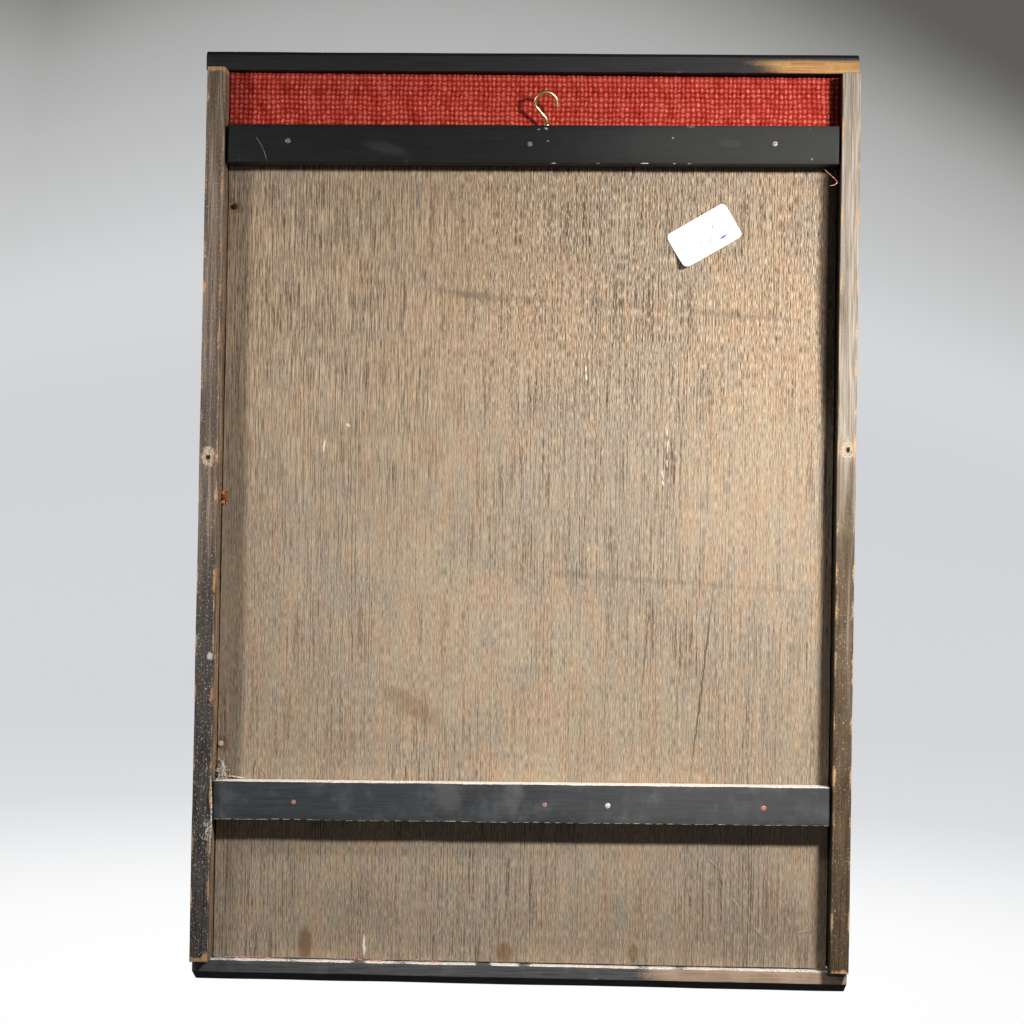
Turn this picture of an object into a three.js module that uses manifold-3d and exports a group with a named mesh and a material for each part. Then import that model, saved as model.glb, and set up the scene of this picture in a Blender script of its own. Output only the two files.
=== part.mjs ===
// A small framed wall sculpture: a carved wooden spray of leaves on a red hessian ground, in a frame of
// four narrow stained bars, with its battens, hook, nails and label on the back.
//
// Millimetres, +Z up. The carved face looks along -Y, and the back of the two stiles lies against the wall
// on the +Y side. Left and right are as seen from the front. The pieces are laid out from the middle of the
// frame's lower edge in the wall plane, and the whole work is then moved so that its origin is where it
// hangs: the inside top of the cup hook's bend.

import * as THREE from 'three';
import { mergeVertices } from 'three/addons/utils/BufferGeometryUtils.js';
import Module from 'manifold-3d';

const wasm = await Module();
wasm.setup();

// Frame
const FRAME_WIDTH = 431;
const FRAME_HEIGHT = 616;
const STILE_WIDTH = 12.3;
const STILE_DEPTH = 32;
const STILE_ARRIS = 0.9;
const RAIL_DEPTH = 19;
const RAIL_ARRIS = 0.7;
const TOP_RAIL_HEIGHT = 12;
const TOP_RAIL_BEVEL = 2.4;
const BOTTOM_RAIL_HEIGHT = 15.5;
const BOTTOM_RAIL_RAKE = 7.4; // its underside rises this much from the face to the back
const BOTTOM_RAIL_FOOT = 3; // depth of the level strip that it stands on, at the face
const RIGHT_STILE_LEAN = THREE.MathUtils.degToRad(0.24); // its head leans in, so the top rail oversails it
const LEFT_STILE_FOOT_GAP = 1.2; // an open joint at its foot

// Board and the cloth over its face
const BOARD_THICKNESS = 6;
const BOARD_RECESS = 21; // the board's back lies this far in from the wall plane
const BOARD_SIDE_GAP = 0.7;
const BOARD_FOOT_GAP = 1.0;
const CLOTH_THICKNESS = 1.0;
const CLOTH_HEAD_GAP = 0.4; // between the turned cloth and the top rail
const CLOTH_RETURN_UNDER_BATTEN = 14; // how far the turned edge runs in under the upper batten

// Battens
const BATTEN_HEIGHT = 25.4;
const BATTEN_THICKNESS = 15.5;
const BATTEN_ARRIS = 0.8;
const BATTEN_TILT = THREE.MathUtils.degToRad(0.4); // both were nailed on a little out of level
const UPPER_BATTEN = { length: 401.6, x: -1.4, z: 555.2 };
const LOWER_BATTEN = { length: 404.2, x: -0.3, z: 123.0 };

// Nails and pins: heads sit flush in the battens, and proud of the board
const NAIL_HEAD_DIAMETER = 3.7;
const NAIL_HEAD_THICKNESS = 0.9;
const NAIL_SHANK_DIAMETER = 1.8;
const NAIL_LENGTH = 19.5;
const UPPER_NAILS = [[-160.2, 557.1], [0.1, 555.4], [159.4, 555.8]]; // x, z
const LOWER_NAILS = [[-159.0, 122.7], [-57.3, 122.5], [-16.0, 122.4], [148.9, 121.3]];
const PIN_HEAD_PROUD = 0.6;
const PIN_LENGTH = 5.5;
const BOARD_PINS = [[195.9, 514.3], [199.7, 321.1], [199.7, 157.5]];

// Cup hook, screwed into the top edge of the upper batten and leaning back towards the wall
const HOOK_X = -10.4;
const HOOK_LEAN = THREE.MathUtils.degToRad(20);
const HOOK_WIRE = 1.9;
const HOOK_BEND = { x: 0.3, height: 15.4, halfWidth: 6.9, halfHeight: 7.4 }; // to the middle of the wire
const HOOK_BEND_START = THREE.MathUtils.degToRad(18);
const HOOK_BEND_END = THREE.MathUtils.degToRad(195);
const HOOK_TIP = [-7.2, 12.4]; // x and height of the wire's free end
const HOOK_THROAT = [[5.9, 12.2], [3.2, 8.8], [0.9, 6.4], [0, 4.3], [0, 1.5]];
const HOOK_STANDOFF = 1.5; // the hook isn't screwed quite home
const HOOK_FLANGE_DIAMETER = 6.1;
const HOOK_FLANGE_THICKNESS = 1.4;
const HOOK_SCREW_DIAMETER = 2.6;
const HOOK_SCREW_LENGTH = 10;

// Label on the board
const LABEL_WIDTH = 44.5;
const LABEL_HEIGHT = 25.4;
const LABEL_CORNER = 3.3;
const LABEL_THICKNESS = 0.3;
const LABEL_PLACE = { x: -115.7, z: 498.5, turn: THREE.MathUtils.degToRad(-30.7) };

// Carved spray on the face
const SPRAY_THICKNESS = 11;
const SPRAY_FOOT = 94; // height of the stem's foot above the frame's lower edge
const STEM_LENGTH = 330;
const STEM_WIDTH = 14;
const STEM_SWAY = 18;
const LEAF_PAIRS = 4;
const LEAF_LENGTH = 146;
const LEAF_WIDTH = 50;
const LEAF_LIFT = THREE.MathUtils.degToRad(36); // a side leaf's rise from level
const LEAF_CURL = 18;
const END_LEAF_LENGTH = 150;

const GAP = 0.3; // left between pieces that touch

// Places worked out from the sizes above. WALL is the plane that the stiles' backs lie in.
const WALL = 0;
const FACE = WALL - STILE_DEPTH;
const RAIL_BACK = FACE + RAIL_DEPTH;
const BOARD_BACK = WALL - BOARD_RECESS;
const BOARD_FRONT = BOARD_BACK - BOARD_THICKNESS;
const CLOTH_FACE = BOARD_FRONT - GAP - CLOTH_THICKNESS;
const CLOTH_BACK = BOARD_BACK + GAP + CLOTH_THICKNESS;
const OPENING_WIDTH = FRAME_WIDTH - 2 * STILE_WIDTH;
const OPENING_TOP = FRAME_HEIGHT - TOP_RAIL_HEIGHT;
const BOARD_WIDTH = OPENING_WIDTH - 2 * BOARD_SIDE_GAP;
const BOARD_FOOT = BOTTOM_RAIL_HEIGHT + BOARD_FOOT_GAP;
const BOARD_TOP = OPENING_TOP - CLOTH_HEAD_GAP - CLOTH_THICKNESS - GAP;
const UPPER_BATTEN_FRONT = CLOTH_BACK + GAP;
const LOWER_BATTEN_FRONT = BOARD_BACK + GAP;
const HOOK_BASE = new THREE.Vector3(
	HOOK_X,
	UPPER_BATTEN_FRONT + BATTEN_THICKNESS / 2,
	UPPER_BATTEN.z + BATTEN_HEIGHT / 2 - (HOOK_X - UPPER_BATTEN.x) * Math.tan(BATTEN_TILT),
);
const BEARING_HEIGHT = HOOK_BEND.height + HOOK_BEND.halfHeight - HOOK_WIRE / 2;
const BEARING = new THREE.Vector3(HOOK_BEND.x, 0, BEARING_HEIGHT)
	.applyAxisAngle(new THREE.Vector3(1, 0, 0), -HOOK_LEAN)
	.add(HOOK_BASE);

// Materials
function finish(color, roughness, metalness = 0) {
	return new THREE.MeshStandardMaterial({ color, roughness, metalness });
}
const stainedTimber = finish(0x3a3430, 0.7);
const blackTimber = finish(0x2b2c2d, 0.75);
const plywood = finish(0xa38c70, 0.85);
const hessian = finish(0xa62e24, 0.95);
const brass = finish(0xc9ab62, 0.35, 1);
const nailSteel = finish(0xa98f82, 0.5, 0.8);
const paper = finish(0xe6e3dc, 0.8);
const carvedTimber = finish(0x4a3a2c, 0.65);

// A closed geometry as a solid for joining and cutting, and back again.
function toSolid(geometry) {
	const bare = geometry.clone();
	bare.deleteAttribute('normal');
	bare.deleteAttribute('uv');
	const merged = mergeVertices(bare, 1e-4);
	return new wasm.Manifold(new wasm.Mesh({
		numProp: 3,
		vertProperties: new Float32Array(merged.attributes.position.array),
		triVerts: new Uint32Array(merged.index.array),
	}));
}

function toGeometry(solid) {
	const { vertProperties, triVerts } = solid.getMesh();
	const geometry = new THREE.BufferGeometry();
	geometry.setAttribute('position', new THREE.BufferAttribute(vertProperties, 3));
	geometry.setIndex(new THREE.BufferAttribute(triVerts, 1));
	geometry.computeVertexNormals();
	return geometry;
}

function joined(geometries) {
	return toGeometry(geometries.map(toSolid).reduce((whole, piece) => whole.add(piece)));
}

function cut(geometry, tools) {
	return toGeometry(tools.map(toSolid).reduce((left, tool) => left.subtract(tool), toSolid(geometry)));
}

// A rectangle whose four corners are cut off, each by its own amount, going round from the first corner.
function chamferedRectangle(x0, x1, y0, y1, cuts) {
	const corners = [[x0, y0], [x1, y0], [x1, y1], [x0, y1]];
	const inward = [[1, 1], [-1, 1], [-1, -1], [1, -1]];
	const points = corners.flatMap(([x, y], i) => {
		const [sx, sy] = inward[i];
		const alongX = new THREE.Vector2(x + sx * cuts[i], y);
		const alongY = new THREE.Vector2(x, y + sy * cuts[i]);
		return i % 2 === 0 ? [alongY, alongX] : [alongX, alongY];
	});
	return new THREE.Shape(points);
}

// A bar that lies along X: its section is drawn in depth and height.
function barAlongX(section, length, curveSegments = 1) {
	const options = { depth: length, bevelEnabled: false, curveSegments };
	const geometry = new THREE.ExtrudeGeometry(section, options);
	geometry.translate(0, 0, -length / 2);
	return geometry.applyMatrix4(new THREE.Matrix4().set(0, 0, 1, 0, 1, 0, 0, 0, 0, 1, 0, 0, 0, 0, 0, 1));
}

// A shaft along Y from its head at the back to its point, turned from (radius, depth) pairs.
function turnedAlongY(profile, x, back, z) {
	const points = profile.map(([radius, depth]) => new THREE.Vector2(radius, -depth));
	return new THREE.LatheGeometry(points.reverse(), 12).translate(x, back, z);
}

function nailProfile(length, clearance = 0) {
	const head = NAIL_HEAD_DIAMETER / 2 + clearance;
	const shank = NAIL_SHANK_DIAMETER / 2 + clearance;
	const neck = NAIL_HEAD_THICKNESS + clearance;
	const end = length + clearance;
	return [[0, -clearance], [head, -clearance], [head, neck], [shank, neck], [shank, end - 1.5], [0, end]];
}

// Frame bars
function topRail() {
	const cuts = [RAIL_ARRIS, RAIL_ARRIS, TOP_RAIL_BEVEL, RAIL_ARRIS];
	return barAlongX(chamferedRectangle(FACE, RAIL_BACK, OPENING_TOP, FRAME_HEIGHT, cuts), FRAME_WIDTH);
}

// The bottom rail's underside is planed at a slant, so its back is little more than half as high as its face.
function bottomRail() {
	const section = new THREE.Shape([
		new THREE.Vector2(FACE, RAIL_ARRIS),
		new THREE.Vector2(FACE + RAIL_ARRIS, 0),
		new THREE.Vector2(FACE + BOTTOM_RAIL_FOOT, 0),
		new THREE.Vector2(RAIL_BACK, BOTTOM_RAIL_RAKE),
		new THREE.Vector2(RAIL_BACK, BOTTOM_RAIL_HEIGHT - RAIL_ARRIS),
		new THREE.Vector2(RAIL_BACK - RAIL_ARRIS, BOTTOM_RAIL_HEIGHT),
		new THREE.Vector2(FACE + RAIL_ARRIS, BOTTOM_RAIL_HEIGHT),
		new THREE.Vector2(FACE, BOTTOM_RAIL_HEIGHT - RAIL_ARRIS),
	]);
	return barAlongX(section, FRAME_WIDTH);
}

// A stile stands between the rails. It leans about its outer edge at the foot, towards the middle.
function stile(side, lean, footGap, clearance = 0) {
	const inner = STILE_WIDTH + clearance;
	const [x0, x1] = side > 0 ? [-inner, 0] : [0, inner];
	const section = chamferedRectangle(x0, x1, FACE, WALL, Array(4).fill(STILE_ARRIS));
	const foot = BOTTOM_RAIL_HEIGHT + footGap;
	return new THREE.ExtrudeGeometry(section, { depth: OPENING_TOP - GAP - foot, bevelEnabled: false })
		.rotateY(-side * lean)
		.translate(side * FRAME_WIDTH / 2, 0, foot);
}

function rightStile(clearance = 0) {
	return stile(1, RIGHT_STILE_LEAN, GAP, clearance);
}

// Battens, with holes for their nails; the upper one also takes the hook's screw.
function batten(place, front) {
	const cuts = Array(4).fill(BATTEN_ARRIS);
	const half = BATTEN_HEIGHT / 2;
	const section = chamferedRectangle(front, front + BATTEN_THICKNESS, -half, half, cuts);
	return barAlongX(section, place.length).rotateY(BATTEN_TILT).translate(place.x, 0, place.z);
}

function battenNails(places, battenFront, clearance = 0) {
	const back = battenFront + BATTEN_THICKNESS;
	return places.map(([x, z]) => turnedAlongY(nailProfile(NAIL_LENGTH, clearance), x, back, z));
}

function boardPins(clearance = 0) {
	const back = BOARD_BACK + PIN_HEAD_PROUD + NAIL_HEAD_THICKNESS;
	return BOARD_PINS.map(([x, z]) => turnedAlongY(nailProfile(PIN_LENGTH, clearance), x, back, z));
}

// The hook in its own frame: the batten's top edge is at height 0, and the bend lies in the X-Z plane
// with its mouth towards -X.
function onHook(geometry) {
	return geometry.rotateX(-HOOK_LEAN).translate(HOOK_BASE.x, HOOK_BASE.y, HOOK_BASE.z);
}

function hookScrew(clearance = 0) {
	const radius = HOOK_SCREW_DIAMETER / 2 + clearance;
	const top = HOOK_STANDOFF + 1;
	const point = -HOOK_SCREW_LENGTH - clearance;
	const profile = [[0, point], [radius, point + 2], [radius, top], [0, top]];
	const geometry = new THREE.LatheGeometry(profile.map(([r, y]) => new THREE.Vector2(r, y)), 12);
	return onHook(geometry.rotateX(Math.PI / 2));
}

function hookFlange() {
	const radius = HOOK_FLANGE_DIAMETER / 2;
	const top = HOOK_STANDOFF + HOOK_FLANGE_THICKNESS;
	const profile = [
		[0, HOOK_STANDOFF],
		[radius, HOOK_STANDOFF],
		[radius, HOOK_STANDOFF + 0.5],
		[radius * 0.6, top],
		[HOOK_WIRE / 2, top + 0.9],
		[0, top + 0.9],
	];
	const geometry = new THREE.LatheGeometry(profile.map(([r, y]) => new THREE.Vector2(r, y)), 20);
	return onHook(geometry.rotateX(Math.PI / 2));
}

function hookWire() {
	const arcSteps = 12;
	const bend = Array.from({ length: arcSteps + 1 }, (_, i) => {
		const angle = THREE.MathUtils.lerp(HOOK_BEND_START, HOOK_BEND_END, i / arcSteps);
		const x = HOOK_BEND.x - HOOK_BEND.halfWidth * Math.cos(angle);
		return [x, HOOK_BEND.height + HOOK_BEND.halfHeight * Math.sin(angle)];
	});
	const points = [HOOK_TIP, ...bend, ...HOOK_THROAT].map(([x, height]) => new THREE.Vector3(x, 0, height));
	const section = new THREE.Shape().absarc(0, 0, HOOK_WIRE / 2, 0, 2 * Math.PI);
	const extrudePath = new THREE.CatmullRomCurve3(points);
	return onHook(new THREE.ExtrudeGeometry(section, { steps: 44, curveSegments: 5, extrudePath }));
}

// The cloth's section, drawn in depth and height: up the face, over the board's top edge and down the back.
function clothGeometry() {
	const inside = GAP;
	const outside = GAP + CLOTH_THICKNESS;
	const returnFoot = UPPER_BATTEN.z + BATTEN_HEIGHT / 2 - CLOTH_RETURN_UNDER_BATTEN;
	const section = new THREE.Shape();
	section.moveTo(BOARD_FRONT - outside, BOARD_FOOT);
	section.lineTo(BOARD_FRONT - inside, BOARD_FOOT);
	section.lineTo(BOARD_FRONT - inside, BOARD_TOP);
	section.absarc(BOARD_FRONT, BOARD_TOP, inside, Math.PI, Math.PI / 2, true);
	section.absarc(BOARD_BACK, BOARD_TOP, inside, Math.PI / 2, 0, true);
	section.lineTo(BOARD_BACK + inside, returnFoot);
	section.lineTo(BOARD_BACK + outside, returnFoot);
	section.lineTo(BOARD_BACK + outside, BOARD_TOP);
	section.absarc(BOARD_BACK, BOARD_TOP, outside, 0, Math.PI / 2);
	section.absarc(BOARD_FRONT, BOARD_TOP, outside, Math.PI / 2, Math.PI);
	return barAlongX(section, BOARD_WIDTH, 4);
}

function boardGeometry() {
	const height = BOARD_TOP - BOARD_FOOT;
	return new THREE.BoxGeometry(BOARD_WIDTH, BOARD_THICKNESS, height)
		.translate(0, BOARD_BACK - BOARD_THICKNESS / 2, BOARD_FOOT + height / 2);
}

function labelGeometry() {
	const w = LABEL_WIDTH / 2;
	const h = LABEL_HEIGHT / 2;
	const r = LABEL_CORNER;
	const shape = new THREE.Shape();
	shape.absarc(w - r, h - r, r, 0, Math.PI / 2);
	shape.absarc(r - w, h - r, r, Math.PI / 2, Math.PI);
	shape.absarc(r - w, r - h, r, Math.PI, 1.5 * Math.PI);
	shape.absarc(w - r, r - h, r, 1.5 * Math.PI, 2 * Math.PI);
	return new THREE.ExtrudeGeometry(shape, { depth: LABEL_THICKNESS, bevelEnabled: false, curveSegments: 5 })
		.rotateZ(LABEL_PLACE.turn)
		.rotateX(-Math.PI / 2)
		.rotateZ(Math.PI)
		.translate(LABEL_PLACE.x, BOARD_BACK + GAP, LABEL_PLACE.z);
}

// A form that runs from one point to another along a curve, with a flat back and a carved face. Its
// section, at each place along it, is as wide as width(t) and stands as high as height(t): two swelling
// halves with a groove between them, whose floor is at groove times the height.
function carvedForm(curve, width, height, groove, steps) {
	const across = [-1, -0.86, -0.5, -0.12, 0, 0.12, 0.5, 0.86, 1];
	const rise = [0.12, 0.55, 1, 0.82, groove, 0.82, 1, 0.55, 0.12];
	const back = CLOTH_FACE - GAP;
	const position = [];
	const index = [];
	const ring = 2 + across.length;
	const put = (point, depth) => position.push(point.x, back - depth, point.y);
	put(curve.getPoint(0), 0);
	for (let i = 1; i < steps; i++) {
		const t = THREE.MathUtils.lerp(0.003, 0.997, (i - 1) / (steps - 2));
		const middle = curve.getPoint(t);
		const along = curve.getTangent(t);
		const side = new THREE.Vector2(along.y, -along.x).multiplyScalar(width(t) / 2);
		const at = (s) => middle.clone().addScaledVector(side, s);
		put(at(1), 0);
		put(at(-1), 0);
		across.forEach((s, k) => put(at(s), rise[k] * height(t)));
	}
	put(curve.getPoint(1), 0);
	const last = position.length / 3 - 1;
	for (let k = 0; k < ring; k++) {
		const next = (k + 1) % ring;
		index.push(0, 1 + next, 1 + k);
		for (let i = 0; i < steps - 2; i++) {
			const low = 1 + i * ring;
			const high = low + ring;
			index.push(low + k, low + next, high + next);
			index.push(low + k, high + next, high + k);
		}
		const top = last - ring;
		index.push(last, top + k, top + next);
	}
	const geometry = new THREE.BufferGeometry();
	geometry.setAttribute('position', new THREE.BufferAttribute(new Float32Array(position), 3));
	geometry.setIndex(index);
	return geometry;
}

function stemCurve() {
	const top = SPRAY_FOOT + STEM_LENGTH;
	return new THREE.CubicBezierCurve(
		new THREE.Vector2(-STEM_SWAY, SPRAY_FOOT),
		new THREE.Vector2(STEM_SWAY, SPRAY_FOOT + STEM_LENGTH / 3),
		new THREE.Vector2(-STEM_SWAY / 2, SPRAY_FOOT + 2 * STEM_LENGTH / 3),
		new THREE.Vector2(0, top),
	);
}

// A leaf springs from the stem at foot, heads off at angle and curls upwards by curl towards its tip.
function leaf(foot, angle, length, width, curl) {
	const heading = new THREE.Vector2(Math.cos(angle), Math.sin(angle));
	const tip = foot.clone().addScaledVector(heading, length).add(new THREE.Vector2(0, curl));
	const bend = foot.clone().addScaledVector(heading, length * 0.55);
	const curve = new THREE.QuadraticBezierCurve(foot, bend, tip);
	const swell = (t) => Math.sin(Math.PI * t ** 0.85) ** 0.9;
	return carvedForm(
		curve,
		(t) => 1.5 + width * swell(t),
		(t) => 2.5 + (SPRAY_THICKNESS - 2.5) * Math.sin(Math.PI * t) ** 0.7,
		0.62,
		18,
	);
}

function sprayGeometry() {
	const stem = stemCurve();
	const stemForm = carvedForm(
		stem,
		(t) => STEM_WIDTH * (1 - 0.55 * t),
		() => SPRAY_THICKNESS * 0.8,
		0.9,
		24,
	);
	const leaves = [];
	for (let i = 0; i < LEAF_PAIRS; i++) {
		const share = i / (LEAF_PAIRS - 1);
		const length = LEAF_LENGTH * (1 - 0.22 * share);
		const width = LEAF_WIDTH * (1 - 0.14 * share);
		for (const side of [-1, 1]) {
			const foot = stem.getPoint(0.16 + 0.62 * share + (side < 0 ? 0.07 : 0));
			const angle = side > 0 ? LEAF_LIFT : Math.PI - LEAF_LIFT;
			leaves.push(leaf(foot, angle, length, width, LEAF_CURL));
		}
	}
	const endFoot = stem.getPoint(0.93);
	leaves.push(leaf(endFoot, Math.PI / 2, END_LEAF_LENGTH - LEAF_CURL, LEAF_WIDTH, LEAF_CURL));
	return joined([stemForm, ...leaves]);
}

// Assembly
const work = new THREE.Group();
function place(name, geometry, material) {
	const mesh = new THREE.Mesh(geometry, material);
	mesh.name = name;
	work.add(mesh);
}

place('top_rail', topRail(), stainedTimber);
place('bottom_rail', bottomRail(), stainedTimber);
place('left_stile', stile(-1, 0, LEFT_STILE_FOOT_GAP), stainedTimber);
place('right_stile', rightStile(), stainedTimber);

const upperNailHoles = battenNails(UPPER_NAILS, UPPER_BATTEN_FRONT, GAP);
const lowerNailHoles = battenNails(LOWER_NAILS, LOWER_BATTEN_FRONT, GAP);
// The board and its cloth are trimmed to the leaning stile.
const stileTrim = rightStile(BOARD_SIDE_GAP);
const boardHoles = [...upperNailHoles, ...lowerNailHoles, ...boardPins(GAP)];
place('back_panel', cut(boardGeometry(), [...boardHoles, stileTrim]), plywood);
place('hessian', cut(clothGeometry(), [...upperNailHoles, stileTrim]), hessian);
const upperBatten = batten(UPPER_BATTEN, UPPER_BATTEN_FRONT);
place('upper_batten', cut(upperBatten, [...upperNailHoles, hookScrew(GAP)]), blackTimber);
place('lower_batten', cut(batten(LOWER_BATTEN, LOWER_BATTEN_FRONT), lowerNailHoles), blackTimber);

place('cup_hook', joined([hookScrew(), hookFlange(), hookWire()]), brass);
const nailSets = {
	upper_nail: battenNails(UPPER_NAILS, UPPER_BATTEN_FRONT),
	lower_nail: battenNails(LOWER_NAILS, LOWER_BATTEN_FRONT),
	panel_pin: boardPins(),
};
for (const [name, nails] of Object.entries(nailSets)) {
	nails.forEach((nail, i) => place(`${name}_${i + 1}`, nail, nailSteel));
}
place('paper_label', labelGeometry(), paper);
place('carved_spray', sprayGeometry(), carvedTimber);

work.position.copy(BEARING).negate();
const sculpture = new THREE.Group();
sculpture.add(work);

export default sculpture;
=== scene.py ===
"""A small framed wall sculpture, seen from the side that hangs against the wall.

Four narrow stained bars hold a thin board with red hessian over its face. Two black battens are nailed
across the board's back, a brass cup hook is screwed into the upper one, and a paper label is stuck on.
The face, which the view doesn't show, carries a carved spray of leaves.

Shapes are worked out in millimetres in the part's own frame, +Z up, with the wall on the +Y side.
"""

import math

import bpy
import numpy as np
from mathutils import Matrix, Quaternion, Vector


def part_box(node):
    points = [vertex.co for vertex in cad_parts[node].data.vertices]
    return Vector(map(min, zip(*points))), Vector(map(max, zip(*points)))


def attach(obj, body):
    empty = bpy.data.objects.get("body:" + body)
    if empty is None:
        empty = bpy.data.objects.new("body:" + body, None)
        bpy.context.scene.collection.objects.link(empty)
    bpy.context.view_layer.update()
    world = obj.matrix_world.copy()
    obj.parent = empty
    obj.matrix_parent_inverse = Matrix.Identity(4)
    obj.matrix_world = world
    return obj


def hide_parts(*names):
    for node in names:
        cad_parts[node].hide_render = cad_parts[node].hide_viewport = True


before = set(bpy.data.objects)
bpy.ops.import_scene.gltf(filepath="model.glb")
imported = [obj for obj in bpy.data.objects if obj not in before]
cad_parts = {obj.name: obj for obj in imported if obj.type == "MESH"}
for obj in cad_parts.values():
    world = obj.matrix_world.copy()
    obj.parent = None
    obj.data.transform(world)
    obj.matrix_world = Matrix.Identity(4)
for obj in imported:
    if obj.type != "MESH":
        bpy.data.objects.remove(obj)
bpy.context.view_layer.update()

MM = 0.001


def node_box(name):
    """A CAD node's lowest and highest corners, in millimetres."""
    low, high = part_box(name)
    return np.array(low) / MM, np.array(high) / MM


TOP_RAIL = node_box("top_rail")
BOTTOM_RAIL = node_box("bottom_rail")
LEFT_STILE = node_box("left_stile")
RIGHT_STILE = node_box("right_stile")
BOARD = node_box("back_panel")
CLOTH = node_box("hessian")
UPPER_BATTEN = node_box("upper_batten")
LOWER_BATTEN = node_box("lower_batten")
SPRAY = node_box("carved_spray")

WALL_Y = LEFT_STILE[1][1]
RAIL_BACK_Y = TOP_RAIL[1][1]
FOOT_Z = BOTTOM_RAIL[0][2]
MIDDLE_X = (TOP_RAIL[0][0] + TOP_RAIL[1][0]) / 2

# Sizes (mm) that more than one piece needs
STILE_WIDTH = 12.3
STILE_LEAN = math.tan(math.radians(0.24))
CLOTH_UNDER_BATTEN = 14
WARP_PITCH, WEFT_PITCH = 3.07, 3.3
THREAD_RELIEF = 0.95
CLOTH_THICKNESS = 0.95


# Camera, behind the work and a little to one side of its middle
def place_camera():
    """A long lens 1.6 m behind the work, turned by yaw and pitch from straight ahead, and by a small roll
    about its own axis."""
    place = Vector((-29.7, 1571.7, -288.4)) * MM
    yaw, pitch, roll = math.radians(1.75), math.radians(0.499), math.radians(0.869)
    look = Vector((math.sin(yaw) * math.cos(pitch), -math.cos(yaw) * math.cos(pitch), math.sin(pitch)))
    data = bpy.data.cameras.new("camera")
    data.sensor_fit = "HORIZONTAL"
    data.sensor_width = 36
    data.lens = 84.375
    data.clip_start = 0.05
    data.clip_end = 50
    camera = bpy.data.objects.new("camera", data)
    bpy.context.scene.collection.objects.link(camera)
    camera.location = place
    camera.rotation_mode = "QUATERNION"
    camera.rotation_quaternion = look.to_track_quat("-Z", "Y") @ Quaternion((0, 0, 1), roll)
    bpy.context.scene.camera = camera


# Numbers that every piece uses
def ease(x, start, end):
    """0 before start, 1 past end, and a smooth slope between them."""
    t = np.clip((x - start) / (end - start), 0, 1)
    return t * t * (3 - 2 * t)


def hills(points, spans, seed, count=9):
    """Smooth random hills between about -1 and 1: cosines that run in random directions, whose lengths
    are near the spans (mm) along each axis."""
    rng = np.random.default_rng(seed)
    places = points / np.array(spans, float)
    total = np.zeros(places.shape[:-1])
    for _ in range(count):
        direction = rng.normal(size=places.shape[-1])
        direction *= 2 * np.pi * rng.uniform(0.5, 1.5) / np.linalg.norm(direction)
        total += np.cos(places @ direction + rng.uniform(0, 2 * np.pi))
    return total / math.sqrt(count)


def along_only(s, span, seed):
    """hills() along one length."""
    return hills(s[..., None], (span,), seed)


# Meshes
def outward(points, faces):
    """The faces as lists of corners, all turned round if together they point into the solid."""
    volume = 0.0
    for group in faces:
        for k in range(1, group.shape[1] - 1):
            a, b, c = points[group[:, 0]], points[group[:, k]], points[group[:, k + 1]]
            volume += np.einsum("ij,ij->", a, np.cross(b, c))
    step = 1 if volume > 0 else -1
    return [corners for group in faces for corners in group[:, ::step].tolist()]


def loft(rings, **marks):
    """A closed surface through rings of points (ring, round, xyz). Neighbouring rings are joined by quads,
    and a fan to its middle closes the first ring and the last. Marks are one number for each point."""
    count, sides = rings.shape[:2]
    points = np.vstack([rings.reshape(-1, 3), rings[0].mean(0), rings[-1].mean(0)])
    index = np.arange(count * sides).reshape(count, sides)
    after = np.roll(index, -1, axis=1)
    middle = np.full(sides, count * sides)
    quads = np.stack([index[:-1], after[:-1], after[1:], index[1:]], -1).reshape(-1, 4)
    first = np.stack([after[0], index[0], middle], -1)
    last = np.stack([index[-1], after[-1], middle + 1], -1)
    marks = {k: np.concatenate([v.ravel(), [v[0].mean(), v[-1].mean()]]) for k, v in marks.items()}
    return points, outward(points, [quads, first, last]), marks


def together(surfaces):
    """Several closed surfaces as the points, faces and marks of one piece."""
    start, points, faces = 0, [], []
    for some_points, some_faces, _ in surfaces:
        points.append(some_points)
        faces += [[corner + start for corner in face] for face in some_faces]
        start += len(some_points)
    marks = {k: np.concatenate([s[2][k] for s in surfaces]) for k in surfaces[0][2]}
    return np.vstack(points), faces, marks


def make_piece(name, surface, material, replaced=(), smooth=True):
    """A finished piece from points (mm), faces and marks, which become point attributes."""
    points, faces, marks = surface
    mesh = bpy.data.meshes.new(name)
    mesh.from_pydata((points * MM).tolist(), [], faces)
    for mark, values in marks.items():
        attribute = mesh.attributes.new(mark, "FLOAT", "POINT")
        attribute.data.foreach_set("value", values.astype(np.float32))
    mesh.polygons.foreach_set("use_smooth", np.full(len(mesh.polygons), smooth))
    mesh.materials.append(material)
    made = bpy.data.objects.new(name, mesh)
    bpy.context.scene.collection.objects.link(made)
    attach(made, "root")
    if replaced:
        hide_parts(*replaced)
    return made


# Nodes
def to_linear(hex_colour):
    """An sRGB hex colour, such as "#a38c70", as linear red, green, blue and alpha."""
    parts = [int(hex_colour[i:i + 2], 16) / 255 for i in (1, 3, 5)]
    return [p / 12.92 if p <= 0.04045 else ((p + 0.055) / 1.055) ** 2.4 for p in parts] + [1.0]


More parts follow.
